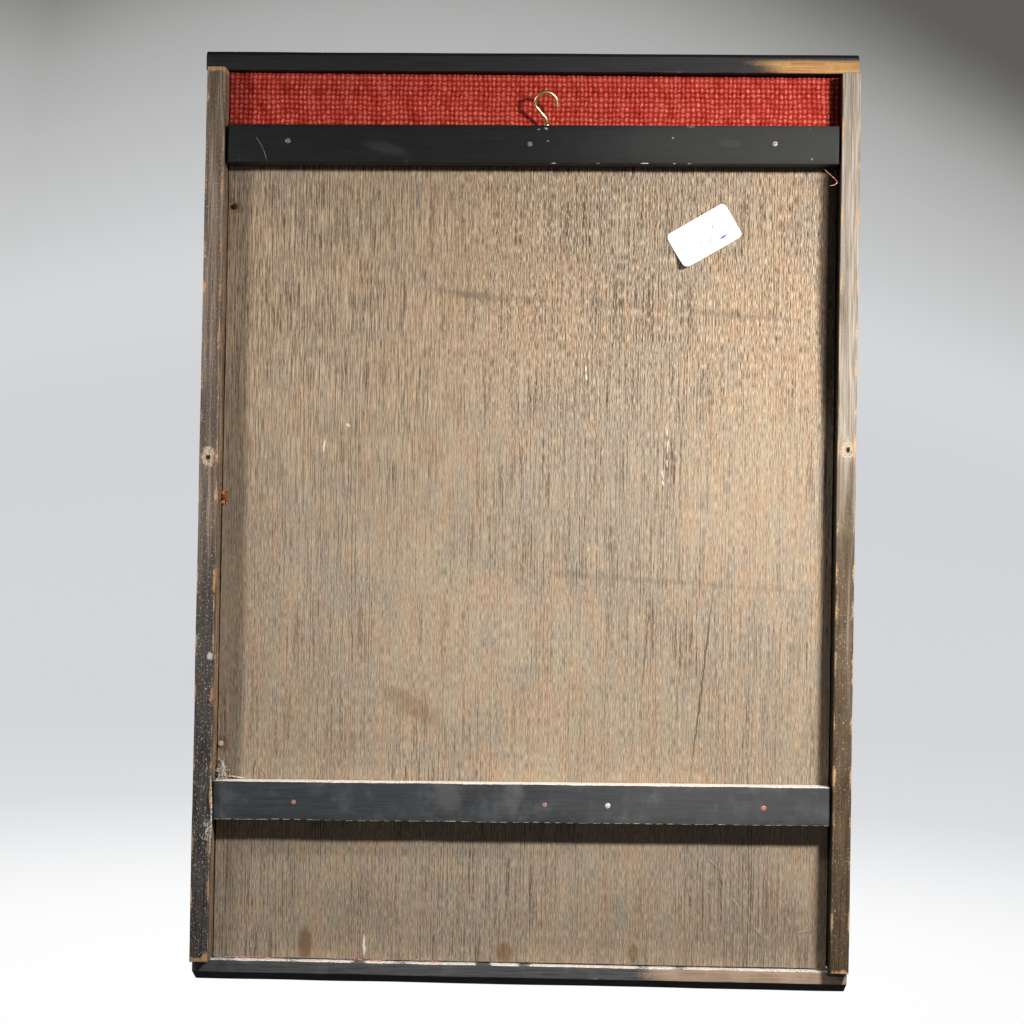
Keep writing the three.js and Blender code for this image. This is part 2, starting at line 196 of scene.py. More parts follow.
def add(tree, kind, inputs=(), stops=(), **settings):
    """Adds a node with its settings. inputs gives its sockets, by name or in order, a value or a node to
    link from, and stops are a colour ramp's places and colours. A hex colour is turned to linear."""
    made = tree.nodes.new("ShaderNode" + kind)
    for name, value in settings.items():
        setattr(made, name, value)
    if stops:
        elements = made.color_ramp.elements
        while len(elements) < len(stops):
            elements.new(0.5)
        for element, (place, colour) in zip(elements, stops):
            element.position = place
            element.color = to_linear(colour)
    sockets = [s for s in made.inputs if s.enabled]
    if isinstance(inputs, dict):
        pairs = [(next(s for s in sockets if s.name == name), value) for name, value in inputs.items()]
    else:
        pairs = zip(sockets, inputs)
    for socket, value in pairs:
        if isinstance(value, bpy.types.Node):
            value = next(s for s in value.outputs if s.enabled)
        if isinstance(value, bpy.types.NodeSocket):
            tree.links.new(value, socket)
        else:
            socket.default_value = to_linear(value) if isinstance(value, str) else value
    return made


def new_finish(name):
    """An empty material and its node tree."""
    material = bpy.data.materials.new(name)
    material.use_nodes = True
    material.node_tree.nodes.clear()
    return material, material.node_tree


def close_finish(tree, colour, roughness, bump=None, **sockets):
    """Ends a material in one surface shader. sockets are constant values on the shader's own sockets."""
    inputs = {"Base Color": colour, "Roughness": roughness}
    inputs.update({name.replace("_", " "): value for name, value in sockets.items()})
    if bump:
        inputs["Normal"] = bump
    shader = add(tree, "BsdfPrincipled", inputs)
    add(tree, "OutputMaterial", {"Surface": shader})


def pattern(tree, sizes, detail=2.0, rough=0.5, seed=0.0, flat=False):
    """A cloudy pattern whose cells measure sizes (mm) along X, Y and Z, from 0 to 1. flat leaves Y out."""
    place = add(tree, "TexCoord").outputs["Object"]
    spread = add(tree, "Mapping", {
        "Vector": place,
        "Location": (seed, seed * 1.7, seed * 0.6),
        "Rotation": (math.pi / 2 if flat else 0, 0, 0),
        "Scale": [1 / (size * MM) for size in sizes],
    })
    noise = {"Vector": spread, "Scale": 1.0, "Detail": detail, "Roughness": rough}
    return add(tree, "TexNoise", noise, noise_dimensions="2D" if flat else "3D").outputs[0]


def between(tree, value, low, high, to_low=0.0, to_high=1.0):
    """value carried smoothly from low..high to to_low..to_high, and held at both ends."""
    return add(tree, "MapRange", [value, low, high, to_low, to_high], interpolation_type="SMOOTHSTEP")


def math_of(tree, operation, *values):
    """One operation on values, which are numbers or nodes."""
    return add(tree, "Math", values, operation=operation)


def total_of(tree, first, second):
    """first + second."""
    return math_of(tree, "ADD", first, second)


def product(tree, first, second):
    """first · second."""
    return math_of(tree, "MULTIPLY", first, second)


def scaled(tree, value, factor, offset):
    """value · factor + offset."""
    return math_of(tree, "MULTIPLY_ADD", value, factor, offset)


def blend(tree, share, first, second, how="MIX"):
    """first where share is 0 and second where it is 1."""
    inputs = {"Factor": share, "A": first, "B": second}
    return add(tree, "Mix", inputs, data_type="RGBA", blend_type=how, clamp_factor=True)


def blots(tree, marks, ragged=1.2, soft=0.5):
    """Soft marks on an upright face: the most of a list of ellipses, each given by its middle X and Z,
    length and width (mm), turn from level (degrees) and strength. Noise in cells of 4 mm frays their
    outlines by up to ragged mm, and all the marks of a finish share it."""
    fray_cell = 4 * MM
    place = add(tree, "TexCoord").outputs["Object"]
    fray = tree.nodes.get("fray")
    if not fray:
        settings = {"Vector": place, "Scale": 1 / fray_cell, "Detail": 2.0}
        noise = add(tree, "TexNoise", settings).outputs["Color"]
        fray = add(tree, "VectorMath", [noise, (0.5, 0.5, 0.5)], operation="SUBTRACT", name="fray")
    shift = add(tree, "VectorMath", {"Vector": fray, "Scale": 2 * ragged * MM}, operation="SCALE")
    place = add(tree, "VectorMath", [place, shift], operation="ADD")
    total = 0.0
    for x, z, length, width, turn, strength in marks:
        spread = add(tree, "Mapping", {
            "Vector": place,
            "Location": (x * MM, 0, z * MM),
            "Rotation": (0, -math.radians(turn), 0),
            "Scale": (length / 2 * MM, 1, width / 2 * MM),
        }, vector_type="TEXTURE")
        reach = add(tree, "VectorMath", [spread], operation="LENGTH").outputs["Value"]
        total = math_of(tree, "MAXIMUM", total, between(tree, reach, 1 - soft, 1 + soft, strength, 0.0))
    return total


def mark_of(tree, name):
    """A point attribute's number."""
    return add(tree, "Attribute", attribute_name=name).outputs["Fac"]


# Finishes
def stained_timber(name, run, stain, worn, bare, marks_and_sheen=(), cloud_colour="#6d6a66", knots=False,
                   fade=1.0, flecks=0.3, fleck_from=0.7, streaky=0.2, sheen=0.3, relief=0.4,
                   ragged_marks=0.6):
    """Planed softwood under a thin dark stain, handled for years: the stain is dense in places, rubbed
    grey in others and gone on the arrises, and lengthwise saw and plane lines show through it.
    run is the axis that the grain follows. stain, worn and bare are each a dark and a light colour.
    fade softens the edge of a worn patch, flecks is the share of dust specks, and streaky the contrast of
    the grain. Softwood's rings are 0.6 mm apart here, which is as fine as the view shows.
    The marks are: stain, how much of it is left, and past 1.7 a painted shade that turns an underside or a
    deep inner face near black; bare, how far it is worn to the wood; pale, raw cream wood under dust; and
    knot, how far from a knot's eye, 1 at its edge."""
    material, tree = new_finish(name)

    def streaks(length, width, **settings):
        """A pattern with cells of length along the bar and width across it, in millimetres."""
        return pattern(tree, [length if axis == run else width for axis in "XYZ"], **settings)

    fine = streaks(30, 0.6, detail=3)
    broad = streaks(90, 4, detail=1, seed=3)
    specks = streaks(1.8, 0.9, detail=1, seed=9)
    dust = streaks(1.7, 1.0, detail=3, rough=0.75, seed=13)

    # the stain, clouded, and near black where the stain mark passes 1.7: painted shade on undersides and
    # deep inner faces
    dense = blend(tree, between(tree, fine, 0.3, 0.7), stain[0], stain[1])
    cloud = pattern(tree, (16, 16, 16), detail=5, rough=0.6, seed=5)
    dense = blend(tree, between(tree, cloud, 0.45, 0.75, 0.0, 0.5), dense, cloud_colour)
    dense = blend(tree, between(tree, mark_of(tree, "stain"), 1.7, 2.3), dense, "#0b0a09")

    # the same timber where it is rubbed thin, and which of the two shows
    rubbed = blend(tree, between(tree, fine, 0.48 - 0.7 * streaky, 0.48 + 0.7 * streaky), worn[0], worn[1])
    rubbed = blend(tree, between(tree, broad, 0.35, 0.7, 0.0, 0.5), rubbed, worn[0])
    left = total_of(tree, mark_of(tree, "stain"), scaled(tree, broad, 1.2, -0.6))
    left = total_of(tree, left, scaled(tree, fine, 1.6, -0.8))
    colour = blend(tree, between(tree, left, 0.3, 0.7), rubbed, dense)
    if knots:
        ring_spacing = 21.0
        ragged = scaled(tree, pattern(tree, (3.2, 3.2, 3.2), seed=7), 1.3, -0.65)
        reach = total_of(tree, mark_of(tree, "knot"), ragged)
        ring = math_of(tree, "SINE", product(tree, reach, ring_spacing))
        rings = blend(tree, between(tree, ring, 0.0, 0.8, 0.0, 0.85), "#bba78e", "#6f5a45")
        colour = blend(tree, between(tree, reach, 1.25, 0.8, 0.0, 0.9), colour, rings)
        colour = blend(tree, between(tree, mark_of(tree, "knot"), 0.42, 0.28), colour, "#120b07")

    # bare wood, with a frayed edge, and specks of dust that the stain holds
    wood = blend(tree, between(tree, fine, 0.5 - streaky, 0.5 + streaky), bare[0], bare[1])
    wood = blend(tree, between(tree, cloud, 0.42, 0.62, 0.0, 0.55), wood, bare[1])
    frayed = scaled(tree, specks, 0.7, -0.35)
    ragged = scaled(tree, broad, 0.6, -0.3)
    ragged = product(tree, total_of(tree, frayed, ragged), 1 / fade)
    worn_to = total_of(tree, mark_of(tree, "bare"), ragged)
    is_bare = between(tree, worn_to, 0.55 - 0.2 * fade, 0.55 + 0.2 * fade)
    caught = between(tree, mark_of(tree, "stain"), 0.25, 0.8, 0.4 * flecks, flecks)
    caught = product(tree, between(tree, dust, fleck_from, fleck_from + 0.08), caught)
    colour = blend(tree, caught, colour, "#c8c0b2")
    colour = blend(tree, is_bare, colour, wood)

    # raw arrises under dust, and dabs of paint and scuffs
    dusty = blend(tree, between(tree, specks, 0.35, 0.65), "#c3b3a0", "#f3ece1")
    is_pale = between(tree, total_of(tree, mark_of(tree, "pale"), frayed), 0.4, 0.6)
    colour = blend(tree, is_pale, colour, dusty)
    # the blots are scuffs and paint; on each batten one broad faint pale blot is a painted sheen
    if marks_and_sheen:
        colour = blend(tree, blots(tree, marks_and_sheen, ragged=ragged_marks), colour, "#b9b4ab")
    roughness = between(tree, is_bare, 0.0, 1.0, 0.6, 0.8)
    bump = add(tree, "Bump", {"Height": fine, "Strength": relief, "Distance": 0.2 * MM})
    close_finish(tree, colour, roughness, bump, Specular_IOR_Level=sheen)
    return material


def raw_plywood():
    """Bare lauan plywood, grey with age: a tan ground with upright grain, packed with short open pores
    that have gone dark, grey clouds of damp and dust, a few smears, drips, cracks and flecks of paint.
    The pores are 0.45 mm wide, and 6 mm long, or 17 mm where the veneer is cut straight along them. The
    upper part of the board, clear of the damp, has more contrast. Marks are placed by X and Z in mm."""
    material, tree = new_finish("aged_lauan_plywood")
    pore_width = 0.45
    stripes = pattern(tree, (0.85, 0.85, 55), detail=3, rough=0.7, flat=True)
    strokes = pattern(tree, (pore_width, pore_width, 5.8), rough=0.6, seed=6, flat=True)
    threads = pattern(tree, (pore_width, pore_width, 17), detail=3, rough=0.65, seed=21, flat=True)
    ribbon = pattern(tree, (8, 8, 110), detail=2, seed=2, flat=True)
    cloud = pattern(tree, (15, 15, 30), detail=3, rough=0.65, seed=8, flat=True)
    patch = pattern(tree, (110, 110, 140), detail=1, seed=11, flat=True)
    hue = pattern(tree, (10, 10, 45), seed=15, flat=True)
    place = add(tree, "SeparateXYZ", [add(tree, "TexCoord").outputs["Object"]])
    across, up = place.outputs["X"], place.outputs["Z"]
    clear = between(tree, up, -270 * MM, -120 * MM)
    long = product(tree, between(tree, across, 0.0, 100 * MM), between(tree, up, -340 * MM, -200 * MM))

    # the ground, its grey clouds and broad darker patches
    colour = blend(tree, between(tree, hue, 0.3, 0.7), "#a38a71", "#9f9079")
    colour = blend(tree, product(tree, clear, 0.45), colour, "#a58465")
    greyed = scaled(tree, patch, 0.6, -0.3)
    greyed = between(tree, total_of(tree, cloud, greyed), 0.36, 0.66, 0.0, 0.6)
    colour = blend(tree, greyed, colour, "#8b8276")
    broad_darkening = blots(tree, [
        (188, -220, 400, 34, 90, 0.4),
        (80, -80, 260, 90, 0, 0.3),
        (118, -205, 190, 130, 70, 0.2),
        (-90, -405, 190, 120, 60, 0.22),
        (-85, -545, 210, 70, 0, 0.34),
        (125, -540, 80, 50, 0, 0.3),
        (150, -430, 90, 60, 60, 0.2),
    ], ragged=9.0, soft=0.95)
    colour = blend(tree, broad_darkening, colour, "#6e6151")
    # painted shadows: dark strips on the board beside the two stiles, where the stiles' shadows fall
    painted_stile_shadows = blots(tree, [
        (-188, -110, 210, 14, 90, 0.8),
        (204, -335, 330, 19, 90, 0.27),
    ], ragged=1.5, soft=0.3)

    # dark and light grain, long lines first and then the pores
    by_patch = between(tree, patch, 0.4, 0.62, -0.05, 0.35)
    dense = total_of(tree, between(tree, ribbon, 0.62, 0.38, 0.15, 0.6), by_patch)
    dense = scaled(tree, clear, 0.3, dense)
    lines = product(tree, between(tree, stripes, 0.48, 0.4), dense)
    colour = blend(tree, lines, colour, "#5b493b")
    short = product(tree, scaled(tree, clear, 0.45, 0.46), scaled(tree, long, -0.5, 1.0))
    long = product(tree, long, 0.68)
    for grain, low, high, share, tone in (
        (strokes, 0.46, 0.34, short, "#4b3c30"),
        (strokes, 0.55, 0.67, short, "#cdb798"),
        (threads, 0.46, 0.36, long, "#4b3c30"),
        (threads, 0.54, 0.64, long, "#c6ae8e"),
        (stripes, 0.56, 0.68, scaled(tree, clear, 0.3, 0.3), "#c4ad90"),
    ):
        colour = blend(tree, product(tree, between(tree, grain, low, high), share), colour, tone)

    # marks that lie on the wood
    smears = blots(tree, [
        (49, -131, 44, 4.5, 7, 0.55),
        (12, -133.5, 44, 3.5, 2, 0.3),
        (-50, -137.8, 70, 3, 4, 0.15),
        (-121, -142, 66, 4, 4, 0.42),
        (-83, -319, 180, 3.2, 3.4, 0.26),
    ], ragged=3.0, soft=0.8)
    colour = blend(tree, smears, colour, "#5b5245")
    drips = blots(tree, [
        (151.7, -563, 22, 9, 90, 0.7),
        (19.7, -566, 14, 10, 90, 0.6),
        (-66, -565, 12, 6, 90, 0.55),
        (84, -404, 44, 13, 32, 0.3),
        (208.5, -431, 11, 8, 90, 0.55),
        (204.5, -75, 9, 8, 0, 0.5),
    ], ragged=1.2, soft=0.35)
    colour = blend(tree, drips, colour, "#6a4a30")
    # the painted stile shadows go on over the marks
    colour = blend(tree, painted_stile_shadows, colour, "#2c221a")
    cracks = blots(tree, [
        (-108.6, -383, 133, 1.1, 96.3, 0.7),
        (-70.8, -364, 66, 1.0, 94.3, 0.6),
        (187.6, -447, 12, 0.8, 100, 0.6),
        (181.5, -450, 6, 0.8, 55, 0.5),
    ], ragged=0.9, soft=0.4)
    colour = blend(tree, cracks, colour, "#3a2d22")
    paint = blots(tree, [
        (-28.7, -179, 4.5, 1.0, 88, 0.85),
        (-29.1, -184.5, 4, 0.9, 84, 0.8),
        (144.4, -232.6, 8, 1.6, 95, 0.55),
        (128.6, -218.4, 3, 2, 30, 0.6),
        (-83, -220.5, 5.5, 0.9, 88, 0.7),
        (-83.4, -230, 9, 0.8, 92, 0.6),
        (-83.2, -241, 5, 0.8, 88, 0.55),
        (-80.4, -248.5, 5, 1.0, 80, 0.7),
        (-80.6, -254, 3.5, 1.0, 70, 0.7),
        (112.5, -563, 13, 1.8, 88, 0.9),
    ], ragged=0.7, soft=0.35)
    colour = blend(tree, paint, colour, "#e4dac8")
    bump = add(tree, "Bump", {"Height": strokes, "Strength": 0.4, "Distance": 0.2 * MM})
    close_finish(tree, colour, 0.9, bump, Specular_IOR_Level=0.2)
    return material


def red_hessian():
    """Dyed jute in an open plain weave, coloured by each thread's height: very dark where it dives between
    its neighbours, which is painted shade, and bright on its crown, where pale strokes along the twisted
    fibres are painted highlights. Fibres are drawn as bundles half a millimetre wide, since single ones are
    too fine to show."""
    material, tree = new_finish("red_jute_hessian")
    relief = mark_of(tree, "relief")
    over = between(tree, mark_of(tree, "over"), -0.15, 0.15)
    fibre_width, fibre_length = 0.5, 2.2
    upright = pattern(tree, (fibre_width, 0.6, fibre_length))
    level = pattern(tree, (fibre_length, fibre_length, fibre_width), seed=4)
    fibres = add(tree, "Mix", {"Factor": over, "A": level, "B": upright}, data_type="FLOAT")
    # painted shade: the colour runs from very dark low between the threads to bright on the crowns
    colour = add(tree, "ValToRGB", [relief], stops=(
        (0.16, "#2c0807"), (0.46, "#8a241b"), (0.74, "#bd4234"), (0.99, "#dc6654"))).outputs["Color"]
    # painted highlights: pale strokes of fibre on the crowns
    painted_fibre_highlights = between(tree, fibres, 0.42, 0.64, 0.0, 0.6)
    crown = product(tree, between(tree, relief, 0.72, 1.0), painted_fibre_highlights)
    colour = blend(tree, crown, colour, "#f3ad99")
    colour = blend(tree, between(tree, fibres, 0.45, 0.25, 0.0, 0.6), colour, "#5a100b")
    colour = blend(tree, between(tree, mark_of(tree, "tint"), -1.0, 1.2, 0.0, 0.45), colour, "#8c2117")
    bump = add(tree, "Bump", {"Height": fibres, "Strength": 0.7, "Distance": 0.25 * MM})
    close_finish(tree, colour, 0.95, bump, Specular_IOR_Level=0.1)
    return material


def drawn_brass():
    """Bright drawn brass wire, lightly lacquered and a little tarnished: pale gold with olive-brown
    clouds, and faint draw marks, coarser than real ones so that they show."""
    material, tree = new_finish("drawn_brass")
    tarnish = pattern(tree, (2.4, 2.4, 2.4), detail=4)
    colour = blend(tree, between(tree, tarnish, 0.4, 0.75, 0.0, 0.7), "#f1dda9", "#9a8049")
    draw_marks = pattern(tree, (0.4, 0.4, 0.4))
    bump = add(tree, "Bump", {"Height": draw_marks, "Strength": 0.15, "Distance": 0.05 * MM})
    close_finish(tree, colour, between(tree, tarnish, 0.4, 0.75, 0.34, 0.5), bump, Metallic=1.0)
    return material


def nail_steel(name, bright, dull):
    """A small wire nail's head, coppered and a little rusty: a scratched bright crown, dull at the rim."""
    material, tree = new_finish(name)
    rust = pattern(tree, (0.9, 0.9, 0.9), detail=3)
    colour = blend(tree, between(tree, rust, 0.4, 0.65), bright, dull)
    bump = add(tree, "Bump", {"Height": rust, "Strength": 0.4, "Distance": 0.1 * MM})
    close_finish(tree, colour, between(tree, rust, 0.4, 0.65, 0.42, 0.75), bump, Metallic=0.35)
    return material


def label_paper():
    """Matt white self-adhesive paper: nearly flat white, with fibres drawn coarse enough to show, faint
    pen strokes that are no writing and one small blue scribble."""
    material, tree = new_finish("white_label_paper")
    fibre = pattern(tree, (0.8, 0.8, 0.8), detail=3)
    colour = blend(tree, between(tree, fibre, 0.3, 0.7), "#f4f3f0", "#fdfdfc")
    faint = blots(tree, [
        (-91.5, -98, 7, 0.7, -70, 0.75),
        (-96, -97.5, 3.5, 0.7, 35, 0.7),
        (-103.3, -94.8, 3.2, 0.8, -20, 0.75),
        (-110, -92.8, 11, 0.7, -72, 0.8),
        (-111, -83.8, 6, 0.7, -78, 0.8),
        (-121.1, -83.4, 4.5, 0.7, -12, 0.8),
    ], ragged=0.25, soft=0.5)
    colour = blend(tree, faint, colour, "#3f3e55")
    scribble = blots(tree, [
        (-118.4, -90.1, 6.5, 0.9, -33, 1.0),
        (-117.6, -91.2, 5.5, 0.9, -24, 0.9),
        (-114.4, -93.9, 4, 0.7, -35, 0.6),
    ], ragged=0.35, soft=0.5)
    colour = blend(tree, scribble, colour, "#2a2c8e")
    bump = add(tree, "Bump", {"Height": fibre, "Strength": 0.15, "Distance": 0.05 * MM})
    close_finish(tree, colour, 0.7, bump)
    return material


def carved_timber():
    """Dark oiled hardwood, cut with a gouge: close brown grain that follows the length of the spray,
    paler on the crests where hands have rubbed it, nearly black in the cuts."""
    material, tree = new_finish("oiled_carved_hardwood")
    grain = pattern(tree, (1.1, 1.1, 24), detail=4)
    broad = pattern(tree, (7, 7, 70), detail=2, seed=3)
    colour = blend(tree, between(tree, grain, 0.3, 0.7), "#3a2517", "#7a5231")
    colour = blend(tree, between(tree, broad, 0.4, 0.7, 0.0, 0.4), colour, "#4b2f1c")
    colour = blend(tree, between(tree, mark_of(tree, "crest"), 0.55, 1.0, 0.0, 0.5), colour, "#9a6c43")
    colour = blend(tree, between(tree, mark_of(tree, "crest"), 0.45, 0.0, 0.0, 0.75), colour, "#1f130c")
    bump = add(tree, "Bump", {"Height": grain, "Strength": 0.4, "Distance": 0.2 * MM})
    close_finish(tree, colour, between(tree, grain, 0.3, 0.7, 0.5, 0.38), bump, Coat_Weight=0.12)
    return material


def fibre_finish(name, dark, light):
    """Loose plant fibre and dust: matt, and uneven in colour along its length."""
    material, tree = new_finish(name)
    colour = blend(tree, between(tree, pattern(tree, (1.5, 1.5, 1.5)), 0.4, 0.6), dark, light)
    close_finish(tree, colour, 0.9)
    return material


# Timber bars
def section_outline(corners, facets=4, spans=5):
    """A bar's section outline as tables, so that it can be drawn at any arris radius.

    The corners go round anticlockwise. An outline point is base + the sum over corners of radius · reach:
    each corner is an arc from the normal of the edge before it to that of the edge after, and each edge
    between two arcs is divided evenly. Also gives each point's normal and its distance to a corner."""
    corners = np.array(corners, float)
    count = len(corners)
    edges = np.roll(corners, -1, 0) - corners
    lengths = np.linalg.norm(edges, axis=1)
    after = np.stack([edges[:, 1], -edges[:, 0]], 1) / lengths[:, None]
    before = np.roll(after, 1, 0)
    middle = (before + after) / (1 + (before * after).sum(1))[:, None]
    base, reach, normal, edge = [], [], [], []
    for k in range(count):
        nxt = (k + 1) % count
        start = math.atan2(before[k][1], before[k][0])
        sweep = (math.atan2(after[k][1], after[k][0]) - start) % (2 * math.pi)
        for angle in start + sweep * np.linspace(0, 1, facets + 1):
            out = np.array([math.cos(angle), math.sin(angle)])
            base.append(corners[k])
            reach.append(np.eye(count)[k][:, None] * (out - middle[k]))
            normal.append(out)
            edge.append(0.0)
        for share in np.linspace(0, 1, spans + 1)[1:-1]:
            base.append(corners[k] + share * edges[k])
            here = np.eye(count)[k][:, None] * (after[k] - middle[k]) * (1 - share)
            there = np.eye(count)[nxt][:, None] * (after[k] - middle[nxt]) * share
            reach.append(here + there)
            normal.append(after[k])
            edge.append(min(share, 1 - share) * lengths[k])
    return np.array(base), np.array(reach), np.array(normal), np.array(edge)


def timber_bar(start, end, across, corners, arris, seed, chips=10, chip_depth=1.2, step=1.5, sway=0.12):
    """A planed bar with handled arrises, as a grid of rings from start to end.

    The section is drawn in across and in along × across. Its arris radii wander by a third along the
    bar, and grow at random chips: radius + depth · exp(-(distance / width)²). The faces swell and sink by
    sway. The ends are rounded over by end_round and closed by shrinking rings. All lengths are in mm."""
    end_round = 0.6
    arris_wander, wander_span, roundest = 0.33, 70, 3.2
    rng = np.random.default_rng(seed)
    start, end, across = (np.array(v, float) for v in (start, end, across))
    length = np.linalg.norm(end - start)
    along = (end - start) / length
    across = across - along * (across @ along)
    across /= np.linalg.norm(across)
    up = np.cross(along, across)
    base, reach, normal, edge = section_outline(corners)

    turn = np.linspace(np.pi / 2, 0, 4)
    lead = np.concatenate([[0, 0], end_round * (1 - np.sin(turn))])
    inset = np.concatenate([[end_round, end_round], end_round * (1 - np.cos(turn))])
    shrink = np.concatenate([[0.4, 0.75], np.ones(4)])
    body = np.linspace(end_round, length - end_round, int(length / step))[1:-1]
    s = np.concatenate([lead, body, length - lead[::-1]])
    inset = np.concatenate([inset, np.zeros(len(body)), inset[::-1]])
    shrink = np.concatenate([shrink, np.ones(len(body)), shrink[::-1]])

    radius = np.empty((len(s), len(corners)))
    worn = np.zeros_like(radius)
    for k in range(len(corners)):
        radius[:, k] = arris[k] * (1 + arris_wander * along_only(s, wander_span, seed + 31 * k))
        places = rng.uniform(0, length, chips)
        depths = rng.uniform(0.2, 1, chips) * chip_depth
        widths = rng.uniform(1.0, 4.5, chips)
        for place, depth, width in zip(places, depths, widths):
            worn[:, k] += depth * np.exp(-((s - place) / width) ** 2)
    radius = np.clip(radius + worn, 0.1, roundest)

    outline = base + np.einsum("rk,mkd->rmd", radius, reach)
    outline = outline - normal * inset[:, None, None]
    middle = outline.mean(1, keepdims=True)
    outline = middle + (outline - middle) * shrink[:, None, None]
    points = start + s[:, None, None] * along + outline[..., :1] * across + outline[..., 1:] * up
    normals = (normal[:, :1] * across + normal[:, 1:] * up)[None].repeat(len(s), 0)
    swell_spans = 14 + 70 * np.abs(along)
    swell = sway * hills(points, swell_spans, seed + 7) * (shrink * (inset < 0.01))[:, None]
    points = points + normals * (swell[..., None] - sway)
    nearest = np.abs(corners - base[:, None]).sum(-1).argmin(1)
    return {
        "rings": points,
        "normals": normals,
        "s": np.broadcast_to(s[:, None], points.shape[:2]),
        "edge": np.broadcast_to(edge, points.shape[:2]),
        "chipped": worn[:, nearest],
        "length": length,
    }


def rubbed_arris(bar, seed, amount=0.5, width=1.1):
    """How far handling has bared the wood near the arrises: most on them, gone width mm away."""
    wander = 0.55 + 0.45 * along_only(bar["s"], 38, seed)
    near = np.exp(-(bar["edge"] / width) ** 2)
    return near * np.clip(amount * wander + 0.5 * bar["chipped"], 0, 1)


def bar_piece(name, bar, bare, stain, pale, material, slot, **more):
    """A bar as a piece, with its marks, that replaces its CAD node."""
    shape = bar["rings"].shape[:2]
    marks = {"bare": bare, "stain": stain, "pale": pale, **more}
    marks = {mark: np.broadcast_to(values, shape) for mark, values in marks.items()}
    return make_piece("worn_" + name, loft(bar["rings"], **marks), material, replaced=(name,))


def make_top_rail(material):
    """Its back is stained black and bevelled along its outer arris. Towards one end the back is worn to
    bare wood below the bevel. The bar is out of level by its rise (mm) at each end, and a trifle higher
    than its plain solid."""
    (x0, y0, z0), (x1, y1, z1) = TOP_RAIL
    rise = (1.0, -0.3)
    extra_height = 0.85
    z1 += extra_height
    bevel = 2.4
    corners = [(y0, z0), (y1, z0), (y1, z1 - bevel), (y1 - bevel, z1), (y0, z1)]
    arrises = (0.7, 0.6, 0.5, 0.5, 0.7)
    ends = (x0, 0, rise[0]), (x1, 0, rise[1])
    bar = timber_bar(*ends, (0, 1, 0), corners, arrises, 11, chips=4, chip_depth=0.4)
    x, _, z = np.moveaxis(bar["rings"], -1, 0)
    z = z - np.interp(x, (x0, x1), rise)
    back = ease(bar["normals"][..., 1], 0.75, 0.95)
    worn_from, worn_to = 102, 152
    bared = back * ease(-x - (z1 - z) * 2.1, worn_from, worn_to) * ease(z1 - z, bevel, 6.2)
    bare = np.maximum(bared, rubbed_arris(bar, 12, 0.2) * (x < -60) * (z < z1 - 3))
    # painted shade: the underside, which faces down onto the cloth, gets a stain mark of 2.5, which turns it
    # near black
    stain = 1.25 + 1.25 * ease(-bar["normals"][..., 2], 0.6, 0.9)
    bar_piece("top_rail", bar, bare, stain, 0.0, material, "stained_timber")


def make_bottom_rail(material):
    """Its underside is planed at a slant. Its top arris is raw and dusty behind the board, and its back is
    bare and scratched over a third of its length."""
    (x0, y0, z0), (x1, y1, z1) = BOTTOM_RAIL
    rake, foot = 7.4, 3.0
    corners = [(y0, z0), (y0 + foot, z0), (y1, z0 + rake), (y1, z1), (y0, z1)]
    arrises = (0.7, 0.4, 0.5, 0.6, 0.7)
    bar = timber_bar((x0, 0, 0), (x1, 0, 0), (0, 1, 0), corners, arrises, 21, chips=10, chip_depth=0.6)
    x, y, z = np.moveaxis(bar["rings"], -1, 0)
    back = ease(bar["normals"][..., 1], 0.75, 0.95)
    worn_from, worn_to = 50, 96
    stained_corner = ease(-x, 190, 194) * ease(z - (z1 - 4), 0, 1.5)
    bared = back * ease(-x, worn_from, worn_to) * (1 - 0.9 * stained_corner)
    bare = np.maximum(0.95 * bared, rubbed_arris(bar, 22, 0.25))
    top = ease(bar["normals"][..., 2], 0.5, 0.8) * ease(y, BOARD[0][1] - 1, BOARD[0][1])
    pale = top * (0.75 + 0.35 * along_only(x, 30, 23)) * (x > -193)
    bar_piece("bottom_rail", bar, bare, 1.2, pale, material, "stained_timber")


